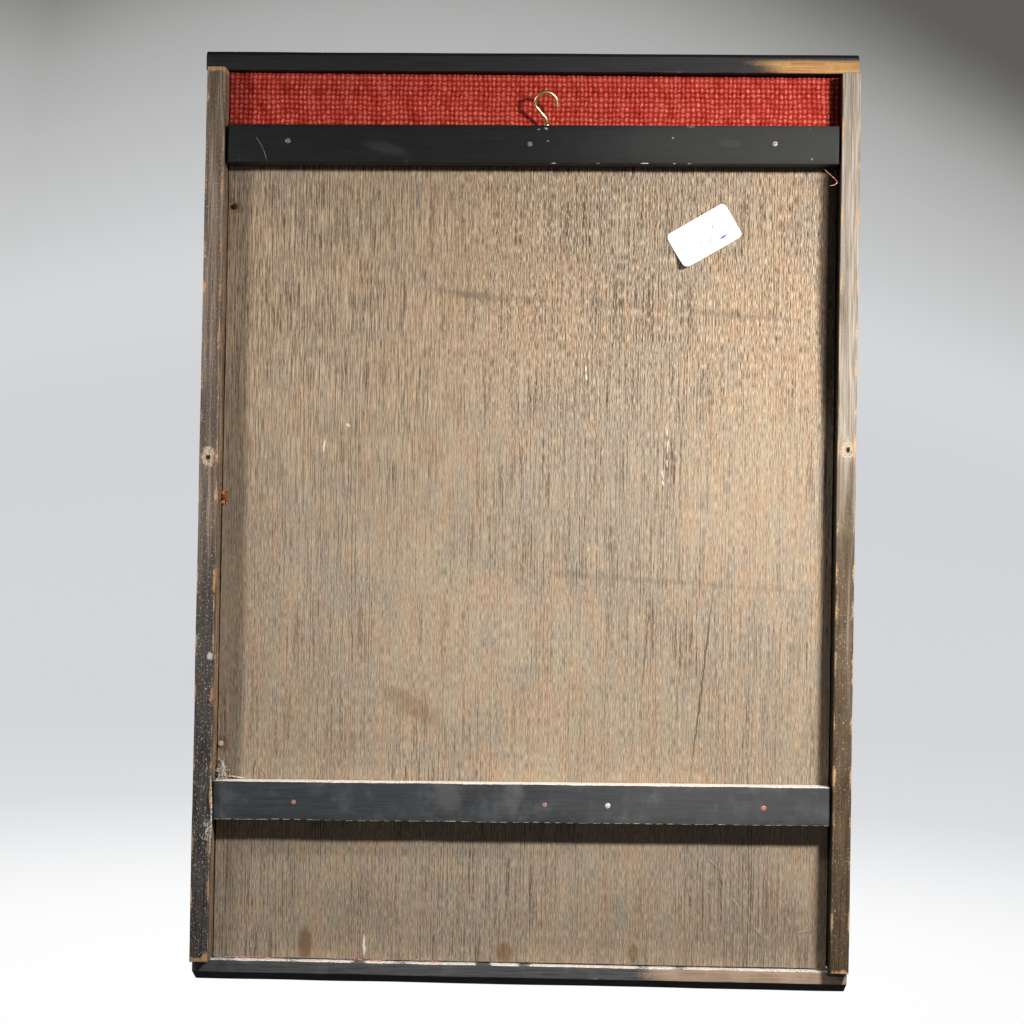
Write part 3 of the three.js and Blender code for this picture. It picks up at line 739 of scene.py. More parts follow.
def make_stiles(left_timber, right_timber):
    """The stiles are deeper than the rails, and their stain is rubbed grey in the upper half. The right
    one leans in a little at its head, and each has a knot, an ellipse of knot_size about knot_at (X, Z)."""
    knot_size = (4.3, 6.4)
    arrises = (0.8,) * 4
    for name, (low, high), side, seed, knot_at in (
        ("left_stile", LEFT_STILE, -1, 31, (-199.9, -231.1)),
        ("right_stile", RIGHT_STILE, 1, 41, (218.3, -241.6)),
    ):
        corners = [(0, low[1]), (STILE_WIDTH, low[1]), (STILE_WIDTH, high[1]), (0, high[1])]
        foot_x = low[0] if side < 0 else high[0] - STILE_WIDTH
        head_x = foot_x - (STILE_LEAN * (high[2] - low[2]) if side > 0 else 0)
        ends = (foot_x, 0, low[2]), (head_x, 0, high[2])
        bar = timber_bar(*ends, (1, 0, 0), corners, arrises, seed, chips=14, chip_depth=0.5)
        x, y, z = np.moveaxis(bar["rings"], -1, 0)
        up = z - FOOT_Z
        normal = bar["normals"]
        back = ease(normal[..., 1], 0.5, 0.9)
        inner = ease(-side * normal[..., 0], 0.3, 0.8)
        head = ease(up, 598.5, 602) * ease(y, RAIL_BACK_Y - 1, RAIL_BACK_Y + 1)
        bare = rubbed_arris(bar, seed + 1, 0.62, 0.8)

        # how much stain is left at these heights above the foot, and what is bare there
        if side < 0:
            stain = np.interp(up, [0, 120, 260, 340, 368, 440, 600], [1.25, 1.05, 0.72, 0.42, 0.3, 0.2, 0.0])
            frayed_foot = ease(up - 1.5 * along_only(x, 3, 33), 20.5, 17)
            bare = np.maximum(bare, 0.8 * frayed_foot * back)
        else:
            stain = np.interp(up, [0, 120, 255, 330, 480, 590], [1.3, 1.1, 0.72, 0.4, 0.35, 0.15])
            from_middle = -(x - foot_x - STILE_WIDTH / 2)
            foot = ease(up, 27, 19) * back
            patch = np.maximum(foot * ease(from_middle, 1.0, 3.5), ease(up, 20, 18) * back)
            bare = np.maximum(bare, 0.9 * patch)
            rim = ease(normal[..., 1], 0.2, 0.5) * ease(-normal[..., 0], 0.2, 0.5)
            bare = np.maximum(bare, rim * (0.55 + 0.2 * along_only(z, 25, 46)))
        # deep is how far an inner face runs into the recess. On the left stile, whose inner face is turned
        # from the key lamp, it raises the stain mark to 2.5: painted shade that turns the face near black.
        # On the right stile it holds the stain mark at 0.8 or more and bares the wood in part.
        deep = inner * ease(WALL_Y - y, 1.5, 5)
        inner_stain_and_shade = 2.5 if side < 0 else 0.8
        stain = np.where(normal[..., 1] < -0.3, 1.3, np.maximum(stain, inner_stain_and_shade * deep))
        bare = np.maximum(bare, (0.7 * head + 0.5 * deep) * (side > 0))
        knot = np.hypot((x - knot_at[0]) / knot_size[0], (z - knot_at[1]) / knot_size[1])
        knot = np.where(back > 0.5, np.minimum(knot, 3), 3)
        timber = left_timber if side < 0 else right_timber
        bar_piece(name, bar, bare, stain, 0.3 * head * (side > 0), timber, "stained_timber", knot=knot)


def make_battens(black, dusty):
    """Flat battens, nailed on a little out of level. The lower one's top edge was never stained, and the
    foot arris of each is rubbed pale in places. Their undersides are painted near black, as painted shade."""
    tilt = math.tan(math.radians(0.4))
    arrises = (0.6,) * 4
    for name, (low, high), seed in (("upper_batten", UPPER_BATTEN, 51), ("lower_batten", LOWER_BATTEN, 61)):
        rise = tilt * (high[0] - low[0])
        height = high[2] - low[2] - rise
        corners = [(low[1], 0), (high[1], 0), (high[1], height), (low[1], height)]
        ends = (low[0], 0, low[2] + rise), (high[0], 0, low[2])
        bar = timber_bar(*ends, (0, 1, 0), corners, arrises, seed, chips=12, chip_depth=0.45, sway=0.08)
        x = bar["rings"][..., 0]
        backward, upward = bar["normals"][..., 1], bar["normals"][..., 2]
        top = ease(upward, 0.3, 0.8)
        foot_arris = ease(-upward, 0.15, 0.4) * ease(backward, 0.1, 0.35)
        if name == "lower_batten":
            rubbed = 0.6 + 0.5 * along_only(x, 9, 62) + 0.4 * ease(x, 150, 190)
            pale = np.maximum(top, foot_arris * rubbed)
            timber = dusty
        else:
            rubbed = 0.27 + 0.22 * along_only(x, 14, 52)
            pale = foot_arris * rubbed * ease(x, -130, -90) * ease(-x, -60, -10)
            timber = black
        bare = rubbed_arris(bar, seed + 2, 0.12, 0.8)
        # painted shade: the undersides' stain mark goes past 1.7, which turns them near black
        stain = 1.55 + 1.0 * ease(-upward, 0.7, 0.95)
        bar_piece(name, bar, bare, stain, pale, timber, "black_timber")


# Cloth
def plain_weave(u, v, seed):
    """Plain weave, with u counting warp threads and v weft threads.

    A thread's crown is |sin(pi u)| to the power 0.45. Threads take turns on top: over = sin(pi u) ·
    sin(pi v) is positive where the warp is, and the surface is the higher of warp · (0.65 + 0.4 over)
    and weft · (0.55 - 0.4 over). Each thread has its own fullness, which also drifts along it. Slubs are
    hills over a few threads."""
    rng = np.random.default_rng(seed)
    threads = np.stack([u, v], -1)
    warp_full = rng.uniform(-1, 1, 400)[np.floor(u).astype(int) % 400]
    weft_full = rng.uniform(-1, 1, 400)[np.floor(v).astype(int) % 400]
    slub = hills(threads, (4, 4), seed + 1) + 0.8 * hills(threads, (1.3, 1.5), seed + 2)
    over = np.sin(np.pi * u) * np.sin(np.pi * v)

    def crown(across, full, height):
        return np.abs(np.sin(np.pi * across)) ** (0.45 - 0.2 * full) * height * (1 + 0.1 * full)

    warp = crown(u, warp_full, 0.65 + 0.4 * over)
    weft = crown(v, weft_full, 0.55 - 0.4 * over)
    relief = np.clip(np.maximum(warp, weft) * (1 + 0.12 * slub), 0, 1.2)
    tint = np.where(warp > weft, warp_full, weft_full) + 0.5 * slub
    return relief, over, tint


def cloth_skin(outer, inner, **marks):
    """A closed thin sheet: the outer grid (row, column, xyz) has the weave, and the inner one has the same
    columns and fewer rows. Quads close it along the rows' ends, and one face along each side."""
    rows, columns = outer.shape[:2]
    points = np.vstack([outer.reshape(-1, 3), inner.reshape(-1, 3)])
    out = np.arange(rows * columns).reshape(rows, columns)
    back = rows * columns + np.arange(inner.shape[0] * columns).reshape(-1, columns)

    def quads(a, b):
        return np.stack([a[:-1], a[1:], b[1:], b[:-1]], -1).reshape(-1, 4)

    faces = [quads(out[i], out[i + 1]) for i in range(rows - 1)]
    faces += [quads(back[i + 1], back[i]) for i in range(len(back) - 1)]
    faces += [quads(back[0], out[0]), quads(out[-1], back[-1])]
    lists = outward(points, faces)
    turned = lists[0] != faces[0][0].tolist()
    for column, step in ((0, 1), (columns - 1, -1)):
        side = (out[:, column].tolist() + back[::-1, column].tolist())[::step]
        lists.append(side[::-1] if turned else side)
    marks = {k: np.concatenate([v.ravel(), np.full(back.size, 0.4)]) for k, v in marks.items()}
    return points, lists, marks


def cloth_right_edge(z):
    """The cloth is trimmed along the right stile, which leans in towards its head."""
    overhang, gap = 0.6, 0.1
    stile = RIGHT_STILE[1][0] - STILE_WIDTH - gap - STILE_LEAN * (z - RIGHT_STILE[0][2])
    return np.minimum(CLOTH[1][0] + overhang, stile)


def cloth_grid(u, v, place, normal, seed, end_v):
    """The woven surface over a path: place(v) and normal(v) give its depth and height (mm) and the way it
    faces, and each point stands out along normal by THREAD_RELIEF · (relief - 0.8). Threads wander
    sideways and sag by about half a millimetre, and not at all at the cloth's edges. Its left edge is
    tucked under the stile, so that no light comes past it."""
    tuck, jitter_size, wander_size, sag_size = 0.2, 0.24, 0.6, 0.3
    uu, vv = np.meshgrid(u, v)
    middle, out = place(vv), normal(vv)
    share = uu / u[-1]
    left, right = LEFT_STILE[1][0] - tuck, cloth_right_edge(middle[..., 1])
    calm = ease(uu, 0, 3) * ease(u[-1] - uu, 0, 3)
    threads = np.stack([uu, vv], -1)
    jitter = [jitter_size * hills(threads, (1.6, 1.6), seed + k) * calm for k in (8, 9)]
    wander = wander_size * hills(threads, (9, 14), seed + 5) * calm + jitter[0]
    relief, over, tint = plain_weave(uu, vv, seed)
    lift = THREAD_RELIEF * (relief - 0.8)
    sag = (sag_size * hills(threads, (11, 12), seed + 6) + jitter[1]) * calm
    sag = sag * ease(vv - v[0], 3, 9) * ease(end_v - vv, 0, 4)
    x = left + share * (right - left) + wander
    y = middle[..., 0] + out[..., 0] * lift
    z = middle[..., 1] + out[..., 1] * lift + sag
    return np.stack([x, y, z], -1), {"relief": relief, "over": over, "tint": tint}


def make_hessian(material):
    """The hessian as two pieces of one cloth: its face, with two grid steps to a thread, and the part that
    turns over the board's head and down its back, with five. bend is the radius of its folds, and sunk is
    how far its middle lies behind the outer plane."""
    face_y, back_y = CLOTH[0][1], CLOTH[1][1]
    foot_z, head_z = CLOTH[0][2], CLOTH[1][2]
    turned_foot_z = UPPER_BATTEN[1][2] - CLOTH_UNDER_BATTEN
    bend, sunk = 1.3, 0.12
    threads = round((CLOTH[1][0] - CLOTH[0][0]) / WARP_PITCH)
    face_height = head_z - bend - foot_z
    face_threads = round(face_height / WEFT_PITCH)

    def face_place(v):
        z = foot_z + v / face_threads * face_height
        return np.stack([np.full(v.shape, face_y + sunk), z], -1)

    def face_normal(v):
        return np.stack([np.full(v.shape, -1.0), np.zeros(v.shape)], -1)

    u = np.arange(0, threads + 0.25, 0.5)
    v = np.arange(0, face_threads + 0.25, 0.5)
    outer, marks = cloth_grid(u, v, face_place, face_normal, 71, face_threads)
    inner = outer[[0, -1]].copy()
    inner[..., 1] = face_y + CLOTH_THICKNESS
    skin = cloth_skin(outer, inner, **marks)
    face = make_piece("hessian_face", skin, material, ("hessian",), smooth=False)

    # The turned part's path: a quarter turn up from the face, level over the board's edge, a quarter turn
    # down, and straight down its back. It is measured in millimetres from the face's head.
    level = back_y - face_y - 2 * bend
    quarter = bend * math.pi / 2
    drop = head_z - bend - turned_foot_z
    path_length = 2 * quarter + level + drop

    def turned(v, radius):
        s = v * WEFT_PITCH
        angle = np.clip(s / quarter, 0, 1) + np.clip((s - quarter - level) / quarter, 0, 1)
        angle = angle * math.pi / 2
        y = face_y + bend + np.clip(s - quarter, 0, level) - radius * np.cos(angle)
        z = head_z - bend + radius * np.sin(angle) - np.clip(s - 2 * quarter - level, 0, None)
        return y, z, angle

    def turned_place(v):
        y, z, _ = turned(v, bend - sunk)
        return np.stack([y, z], -1)

    def turned_normal(v):
        angle = turned(v, bend)[2]
        return np.stack([-np.cos(angle), np.sin(angle)], -1)

    turned_threads = path_length / WEFT_PITCH
    seen_from = (2 * quarter + level) / WEFT_PITCH
    seen_to = (path_length - CLOTH_UNDER_BATTEN) / WEFT_PITCH + 1
    v = np.concatenate([
        np.linspace(0, seen_from, 14)[:-1],
        np.arange(seen_from, seen_to, 0.2),
        np.linspace(seen_to, turned_threads, 8)[1:],
    ])
    u = np.arange(0, threads + 0.1, 0.2)
    outer, marks = cloth_grid(u, v, turned_place, turned_normal, 73, turned_threads)
    inner_v = np.concatenate([np.linspace(0, seen_from, 12), [turned_threads]])
    y, z, _ = turned(inner_v, bend - CLOTH_THICKNESS)
    inner = np.broadcast_to(outer[:1], (len(inner_v), len(u), 3)).copy()
    inner[..., 0] = outer[0, :, 0]
    inner[..., 1] = y[:, None]
    inner[..., 2] = z[:, None]
    skin = cloth_skin(outer, inner, **marks)
    turnover = make_piece("hessian_turnover", skin, material, ("hessian",))


# Round things: nails, hook
def turned_rings(profile, centre, sides):
    """Rings about an axis along Y, from (radius, depth behind the head's back plane) pairs."""
    angle = np.linspace(0, 2 * np.pi, sides, endpoint=False)
    radius, depth = np.array(profile, float).T
    x = centre[0] + radius[:, None] * np.cos(angle)
    z = centre[2] + radius[:, None] * np.sin(angle)
    return np.stack([x, np.broadcast_to(centre[1] - depth[:, None], x.shape), z], -1)


def make_nails():
    """Wire nails with slightly domed heads, a hair's breadth proud of the timber. The profile, pairs of
    radius and depth, goes from the crown over the rim and neck to the point. Each head has its own bright
    and dull tint, as the years have left it."""
    proud = 0.14
    tints = {
        "upper_nail_1": ("#a3918b", "#6d5b53"),
        "upper_nail_2": ("#86736a", "#54433b"),
        "upper_nail_3": ("#8d7f79", "#5a4a42"),
        "lower_nail_1": ("#b9735e", "#c98772"),
        "lower_nail_2": ("#f4ece6", "#b79d90"),
        "lower_nail_3": ("#bc8e86", "#94665c"),
        "lower_nail_4": ("#cf9b7e", "#9c6c50"),
        "panel_pin_1": ("#4a2f22", "#2b1a12"),
        "panel_pin_2": ("#a65c31", "#7a3c1d"),
        "panel_pin_3": ("#e2cdbd", "#b79f8c"),
    }
    head, shank, neck = 1.85, 0.9, 0.9
    for name, (bright, dull) in tints.items():
        low, high = node_box(name)
        length = high[1] - low[1]
        crown = [(0.35 * head, 0.02), (0.65 * head, 0.06), (0.86 * head, 0.14), (0.97 * head, 0.28)]
        rim = [(head, 0.42), (head, neck - 0.12), (0.93 * head, neck)]
        point = [(shank, neck + 0.05), (shank, length - 1.6), (0.4 * shank, length - 0.4)]
        centre = ((low[0] + high[0]) / 2, high[1] + proud, (low[2] + high[2]) / 2)
        surface = loft(turned_rings(crown + rim + point, centre, sides=20))
        finish = nail_steel("coppered_steel_" + name, bright, dull)
        make_piece("domed_" + name, surface, finish, (name,))


def smooth_path(points, count):
    """A Catmull-Rom curve through the points, as count places at even steps along it."""
    points = np.array(points, float)
    padded = np.vstack([2 * points[0] - points[1], points, 2 * points[-1] - points[-2]])
    t = np.linspace(0, 1, 24, endpoint=False)[:, None]
    parts = []
    for a, b, c, d in zip(padded, padded[1:], padded[2:], padded[3:]):
        square, cube = 2 * a - 5 * b + 4 * c - d, 3 * b - a - 3 * c + d
        parts.append(0.5 * (2 * b + (c - a) * t + square * t ** 2 + cube * t ** 3))
    dense = np.vstack(parts + [points[-1:]])
    walked = np.concatenate([[0], np.cumsum(np.linalg.norm(np.diff(dense, axis=0), axis=1))])
    even = np.linspace(0, walked[-1], count)
    return np.stack([np.interp(even, walked, dense[:, i]) for i in range(dense.shape[1])], -1), even


def tube_rings(path, radius, sides):
    """Rings round a path (mm). Their first direction is kept from twisting by a fixed axis, which is
    slanted so that no path here runs along it."""
    fixed = (0.13, 0.9, 0.42)
    heading = np.gradient(path, axis=0)
    heading /= np.linalg.norm(heading, axis=1)[:, None]
    side = np.cross(heading, fixed)
    side /= np.linalg.norm(side, axis=1)[:, None]
    other = np.cross(heading, side)
    angle = np.linspace(0, 2 * np.pi, sides, endpoint=False)
    round_it = np.cos(angle)[:, None] * side[:, None] + np.sin(angle)[:, None] * other[:, None]
    return path[:, None] + np.broadcast_to(radius, (len(path),))[:, None, None] * round_it


def make_hook(material):
    """A cup hook: one piece of wire, bent to an open loop, with a pressed flange and a screw below it.

    In the hook's own plane, x is sideways and h the height above the batten. The wire runs from its
    rounded tip round the bend, an ellipse, and down the throat; below it, the radius follows the flange's
    profile and then the screw's, whose thread is a helical ripple on its core."""
    lean = math.radians(20)
    wire = 2.15 / 2
    bend_x, bend_h, half_width, half_height = 0.3, 15.4, 7.15, 7.52
    turn = np.radians(np.linspace(18, 195, 13))
    bend = np.stack([bend_x - half_width * np.cos(turn), bend_h + half_height * np.sin(turn)], 1)
    tip_at = [(-7.2, 12.4)]
    throat = [(5.9, 12.2), (3.2, 8.8), (0.9, 6.4), (0, 4.3), (0, 1.5)]
    outline, walked = smooth_path(np.vstack([tip_at, bend, throat]), 150)
    bearing = bend_h + half_height - wire
    base = np.array([-bend_x, -bearing * math.sin(lean), -bearing * math.cos(lean)])

    def on_hook(flat):
        """Points (x, forward, h) of the hook's plane in the part's frame."""
        x, forward, h = np.moveaxis(flat, -1, 0)
        y = forward * math.cos(lean) + h * math.sin(lean)
        z = h * math.cos(lean) - forward * math.sin(lean)
        return base + np.stack([x, y, z], -1)

    path = np.stack([outline[:, 0], np.zeros(len(outline)), outline[:, 1]], 1)
    tip = np.sqrt(np.clip(1 - (1 - np.clip(walked / wire, 0, 1)) ** 2, 0.02, 1))
    wire_part = loft(on_hook(tube_rings(path, wire * tip, 16)))

    flange = [
        (0.5, 1.5), (2.6, 1.5), (3.0, 1.58), (3.05, 1.8), (2.8, 2.1),
        (2.1, 2.5), (1.5, 3.0), (1.1, 3.8), (0.6, 4.2),
    ]
    angle = np.linspace(0, 2 * np.pi, 28, endpoint=False)

    def turned_part(r, h):
        """Rings of radius r, one number for each point, at the heights h."""
        return np.stack([r * np.cos(angle), r * np.sin(angle), np.broadcast_to(h[:, None], r.shape)], -1)

    flange_r, flange_h = np.array(flange, float).T
    flange_part = loft(on_hook(turned_part(flange_r[:, None] * np.ones_like(angle), flange_h)))

    screw_radius, thread_depth, thread_pitch, taper = 1.3, 0.16, 1.1, 2.4
    h = np.linspace(-9.8, 1.6, 90)
    core = screw_radius * np.clip((h + 10.2) / taper, 0.1, 1)
    thread = thread_depth * np.cos(2 * np.pi * h[:, None] / thread_pitch - angle)
    thread = thread * ease(h, -9.5, -8)[:, None] * ease(-h, 0.2, 1.2)[:, None]
    screw_part = loft(on_hook(turned_part(core[:, None] - thread_depth + thread, h)))
    parts = [wire_part, flange_part, screw_part]
    make_piece("brass_cup_hook", together(parts), material, ("cup_hook",))


# Label
def make_label(material):
    """A label with round corners, turned on the board. Rings at growing shares of its outline make its
    back and its front, thick apart and clear of the wood. Two corners have come unstuck: past a line
    across each, they lift by the square of the distance (mm)."""
    low, high = node_box("paper_label")
    centre = (low + high) / 2
    half_w, half_h, corner, thick, clear = 44.5 / 2, 25.4 / 2, 3.3, 0.22, 0.02
    turn = math.radians(30.7)
    corner_turn = np.linspace(0, np.pi / 2, 8)
    outline = []
    for k, (sx, sy) in enumerate(((1, 1), (-1, 1), (-1, -1), (1, -1))):
        angle = corner_turn + k * np.pi / 2
        outline.append(np.stack([
            sx * (half_w - corner) + corner * np.cos(angle),
            sy * (half_h - corner) + corner * np.sin(angle)], 1))

    # each corner's arc, then ten steps along the edge to the next corner's
    rounded = []
    for k in range(4):
        a, b = outline[k], outline[(k + 1) % 4]
        rounded += [a, a[-1] + (b[0] - a[-1]) * np.linspace(0, 1, 12)[1:-1, None]]
    rounded = np.vstack(rounded)
    shares = np.array([0.02, 0.2, 0.4, 0.6, 0.75, 0.87, 0.95, 1.0])
    flat = np.concatenate([shares, shares[::-1]])[:, None, None] * rounded
    back = np.concatenate([np.zeros(len(shares)), np.full(len(shares), thick)])[:, None]
    u, w = flat[..., 0], flat[..., 1]
    low_corner = np.clip((-u - 0.9 * w) - 17, 0, None)
    high_corner = np.clip((-u + 0.9 * w) - 25, 0, None)
    lift = 0.027 * low_corner ** 2 + 0.02 * high_corner ** 2

    # seen from the back, +X runs to the left
    x = centre[0] - (u * math.cos(turn) - w * math.sin(turn))
    z = centre[2] + (u * math.sin(turn) + w * math.cos(turn))
    y = low[1] + clear + back + lift
    make_piece("paper_label", loft(np.stack([x, y, z], -1)), material, ("paper_label",))


# Carved spray on the face
def carved_form(curve, width, height, groove, veins, steps, seed):
    """One leaf or the stem. Along the curve, its section is as wide as width(t) and as high as height(t):
    two swelling halves with a groove between them, side veins cut across them in a herringbone, and
    shallow gouge facets all over. The height is height(t) · (rise - 0.09 cut) + facet_depth · facets ·
    rise, where rise is the section's profile and cut is a row of narrow bells, one for each vein."""
    vein_depth, vein_width, facet_depth = 0.09, 0.09, 0.16
    across = np.linspace(-1, 1, 33)
    stations = [0, 0.1, 0.3, 0.5, 0.72, 0.88, 1]
    rise = np.interp(np.abs(across), stations, [groove, 0.83, 0.96, 1.0, 0.84, 0.5, 0.1])
    t = np.linspace(0.003, 0.997, steps)
    middle, heading = curve(t)
    side = np.stack([heading[:, 1], -heading[:, 0]], 1) * (width(t) / 2)[:, None]
    tt, ss = np.meshgrid(t, across, indexing="ij")
    cut = np.zeros_like(tt)
    if veins:
        out = np.abs(ss)
        phase = (tt + 0.16 * out) * veins
        cut = np.exp(-((phase % 1 - 0.5) / vein_width) ** 2) * ease(out, 0.08, 0.2) * ease(out, 0.95, 0.75)
    facets = hills(np.stack([tt * 60, ss * 9], -1), (5, 3.5), seed)
    up = height(t)[:, None] * (rise[None] - vein_depth * cut) + facet_depth * facets * rise[None]
    place = middle[:, None] + ss[..., None] * side[:, None]
    back_y = SPRAY[1][1]
    front = np.stack([place[..., 0], back_y - up, place[..., 1]], -1)
    flat_edge = middle[:, None] + np.linspace(1, -1, 5)[None, :, None] * side[:, None]
    back = np.stack([flat_edge[..., 0], np.full(flat_edge.shape[:2], back_y), flat_edge[..., 1]], -1)
    crests = np.clip(rise[None] - 0.8 * cut + 0.12 * facets, 0, 1.2)
    crests = np.concatenate([crests, np.zeros(back.shape[:2])], 1)
    return loft(np.concatenate([front, back], 1), crest=crests)


def bezier(points):
    """A Bezier curve in the X-Z plane: t gives places and unit headings."""
    points = np.array(points, float)
    degree = len(points) - 1

    def weights(n, t):
        return np.stack([math.comb(n, k) * t ** k * (1 - t) ** (n - k) for k in range(n + 1)], -1)

    def at(t):
        t = np.atleast_1d(np.array(t, float))
        place = weights(degree, t) @ points
        heading = weights(degree - 1, t) @ np.diff(points, axis=0)
        return place, heading / np.linalg.norm(heading, axis=1)[:, None]

    return at


def make_spray(material):
    """A stem that sways from side to side, four pairs of leaves that grow shorter towards the head, and
    one leaf at its end. lift is the leaves' angle from level, and curl how far their tips turn up."""
    thick, stem_length, stem_width, sway, pairs = 11.0, 330.0, 14.0, 18.0, 4
    leaf_length, leaf_width, lift, curl, end_length = 146.0, 50.0, math.radians(36), 18.0, 150.0
    foot = np.array([MIDDLE_X, FOOT_Z + 94])
    stem = bezier(foot + np.array([
        [-sway, 0],
        [sway, stem_length / 3],
        [-sway / 2, 2 * stem_length / 3],
        [0, stem_length],
    ]))

    def leaf(start, angle, length, width, seed):
        heading = np.array([math.cos(angle), math.sin(angle)])
        tip = start + heading * length + (0, curl)
        curve = bezier([start, start + heading * length * 0.55, tip])
        return carved_form(
            curve,
            lambda t: 1.5 + width * np.clip(np.sin(np.pi * t ** 0.85), 0, 1) ** 0.9,
            lambda t: 2.5 + (thick - 2.7) * np.clip(np.sin(np.pi * t), 0, 1) ** 0.7,
            0.62, 9, 120, seed)

    forms = [carved_form(
        stem,
        lambda t: stem_width * (1 - 0.55 * t),
        lambda t: np.full(t.shape, thick * 0.8),
        0.9, 0, 160, 81)]
    for i in range(pairs):
        share = i / (pairs - 1)
        length, width = leaf_length * (1 - 0.22 * share), leaf_width * (1 - 0.14 * share)
        for side in (-1, 1):
            start = stem(0.16 + 0.62 * share + (0.07 if side < 0 else 0))[0][0]
            angle = lift if side > 0 else math.pi - lift
            forms.append(leaf(start, angle, length, width, 90 + 2 * i + side))
    forms.append(leaf(stem(0.93)[0][0], math.pi / 2, end_length - curl, leaf_width, 99))
    make_piece("carved_leaf_spray", together(forms), material, ("carved_spray",))


# Loose threads and fibres
def strand(points, thickness, sides=5):
    """A thin fibre along a smooth path, thinner towards both ends."""
    path, walked = smooth_path(points, 8 * len(points))
    share = walked / walked[-1]
    return loft(tube_rings(path, thickness / 2 * (0.35 + 0.65 * np.sin(np.pi * share) ** 0.5), sides))


def stray(rng, start, thickness, count, spread, drift=(0, 0, 0), size=1.0, outwards=False):
    """A strand that wanders from its start by count random steps, each size · spread + drift (mm).
    outwards keeps its steps away from the board."""
    steps = rng.normal(0, size, (count, 3)) * spread + drift
    if outwards:
        steps[:, 1] = np.abs(steps[:, 1])
    return strand(np.vstack([start, start + np.cumsum(steps, 0)]), thickness)


def loose_piece(name, strands, finish, dark, light):
    """Strands as one piece that stands for no CAD node."""
    make_piece(name, together(strands), fibre_finish(finish, dark, light))


def make_red_ends(rng):
    """Short ends of the red cloth along the board's foot, and one long thread that has come out beside
    the upper batten and curls back up."""
    places = np.concatenate([
        rng.uniform(186, 200, 7),
        rng.normal(176, 3, 4),
        rng.uniform(92, 118, 9),
        rng.uniform(60, 150, 6),
    ])
    reds = []
    for x in places:
        start = np.array([x, BOARD[1][1] + 0.5, BOTTOM_RAIL[1][2] + 0.4])
        reds.append(stray(rng, start, 0.5, 3, (1.6, 0.5, 0.35), (0.9, 0.5, 0.2)))
    curl_x, curl_z = -185.1, -48.1
    y = WALL_Y - 3
    reds.append(strand([
        (curl_x + 2, y - 14, curl_z + 3), (curl_x, y - 6, curl_z - 1), (curl_x - 3, y, curl_z - 5),
        (curl_x - 5.5, y + 1, curl_z - 8), (curl_x - 4, y + 1, curl_z - 10), (curl_x - 1, y, curl_z - 10.5),
    ], 0.7))
    loose_piece("red_thread_ends", reds, "red_jute_fibre", "#b5382d", "#e7b9ab")


def make_splinters(rng):
    """Splinters of the board's veneer that stand round one panel pin."""
    low, high = node_box("panel_pin_2")
    pin = (low + high) / 2
    splinters = []
    for angle in np.radians([75, 100, 125, 60, 250, 275, 295, 230]):
        out = np.array([math.cos(angle), 0.25, math.sin(angle)])
        root = np.array([pin[0], BOARD[1][1] + 0.3, pin[2]]) + out * (1.6, 0, 1.6)
        middle, tip = root + out * 1.6 + (0.1, 0.2, 0), root + out * rng.uniform(2.4, 4)
        splinters.append(strand([root, middle, tip], 1.1))
    loose_piece("orange_splinters", splinters, "fresh_split_lauan", "#8a4f24", "#d99a5c")


def make_fluff(rng):
    """A tuft of pale fluff in the corner above the lower batten, a few hairs along its top, curved hairs
    on the board's foot, and a fleck on the upper batten by the hook."""
    pale = []
    board_y = BOARD[1][1]
    for _ in range(70):
        start = np.array([rng.normal(208.6, 1.3), board_y + rng.uniform(0.3, 4), rng.uniform(-455, -443)])
        pale.append(stray(rng, start, 0.36, 4, (0.7, 0.5, 1.1), size=1.2, outwards=True))
    for x, z in ((203, -452.5), (199, -453), (196, -453.4)):
        along = [(x + 5, board_y + 1, z + 1.5), (x + 2, board_y + 2, z + 0.2), (x - 3, board_y + 1, z)]
        pale.append(strand(along, 0.5))

    # each hair's middle, its reach to either side and its turn from level
    for x, z, reach, turn in (
        (-132.5, -530, 4.2, 52), (-137.5, -536.5, 2.6, 86), (-148, -549.5, 4.4, 48), (-163, -527, 6, 52),
        (-176, -548.5, 4.5, 165), (-184, -546, 4.6, 148), (-189, -543, 2.8, 120), (-117, -504, 4.5, 38),
    ):
        u, w = reach * math.cos(math.radians(turn)), reach * math.sin(math.radians(turn))
        y = board_y + 0.5
        pale.append(strand([(x - u, y, z - w), (x, y + 0.3, z + 0.12 * reach), (x + u, y, z + w)], 0.2))
    fleck = [(-37.6, board_y + 2.2, -15.2), (-37, board_y + 2.8, -14.6), (-36.4, board_y + 2.2, -14.2)]
    pale.append(strand(fleck, 0.42))
    loose_piece("pale_fluff", pale, "grey_fluff", "#b3a99d", "#f0e9de")


def make_twist(rng):
    """Five threads twisted together that hang down the right stile's inner arris, frayed at their foot,
    with a split-off sliver of the stile above."""
    edge_y = WALL_Y + 0.15
    top_z, foot_z = -451, -502
    twist = []
    for phase in np.radians([0, 72, 144, 216, 288]):
        z = np.linspace(top_z, foot_z, 26)
        sway = 213.3 + 0.9 * np.sin((z - top_z) / 16)
        x = sway + 0.45 * np.cos(phase + z / 1.7)
        twist.append(strand(np.stack([x, edge_y + 0.25 * np.sin(phase + z / 1.7), z], -1), 0.5))
    for _ in range(14):
        start = np.array([rng.uniform(213.2, 214.5), edge_y, rng.uniform(-489, -476)])
        twist.append(stray(rng, start, 0.38, 4, (0.8, 0.04, 1.6), (0.55, 0, -0.6)))
    loose_piece("thread_twist", twist, "grey_thread", "#8f867c", "#ded6ca")
    sliver = [strand([(213.0, edge_y, -457), (213.6, edge_y + 0.2, -463), (213.1, edge_y, -472)], 1.5)]
    loose_piece("timber_sliver", sliver, "raw_split_softwood", "#9a6a3c", "#c79c68")


def make_loose_fibres():
    """What has come loose over the years. One random series runs through all of it."""
    rng = np.random.default_rng(7)
    make_red_ends(rng)
    make_splinters(rng)
    make_fluff(rng)
    make_twist(rng)


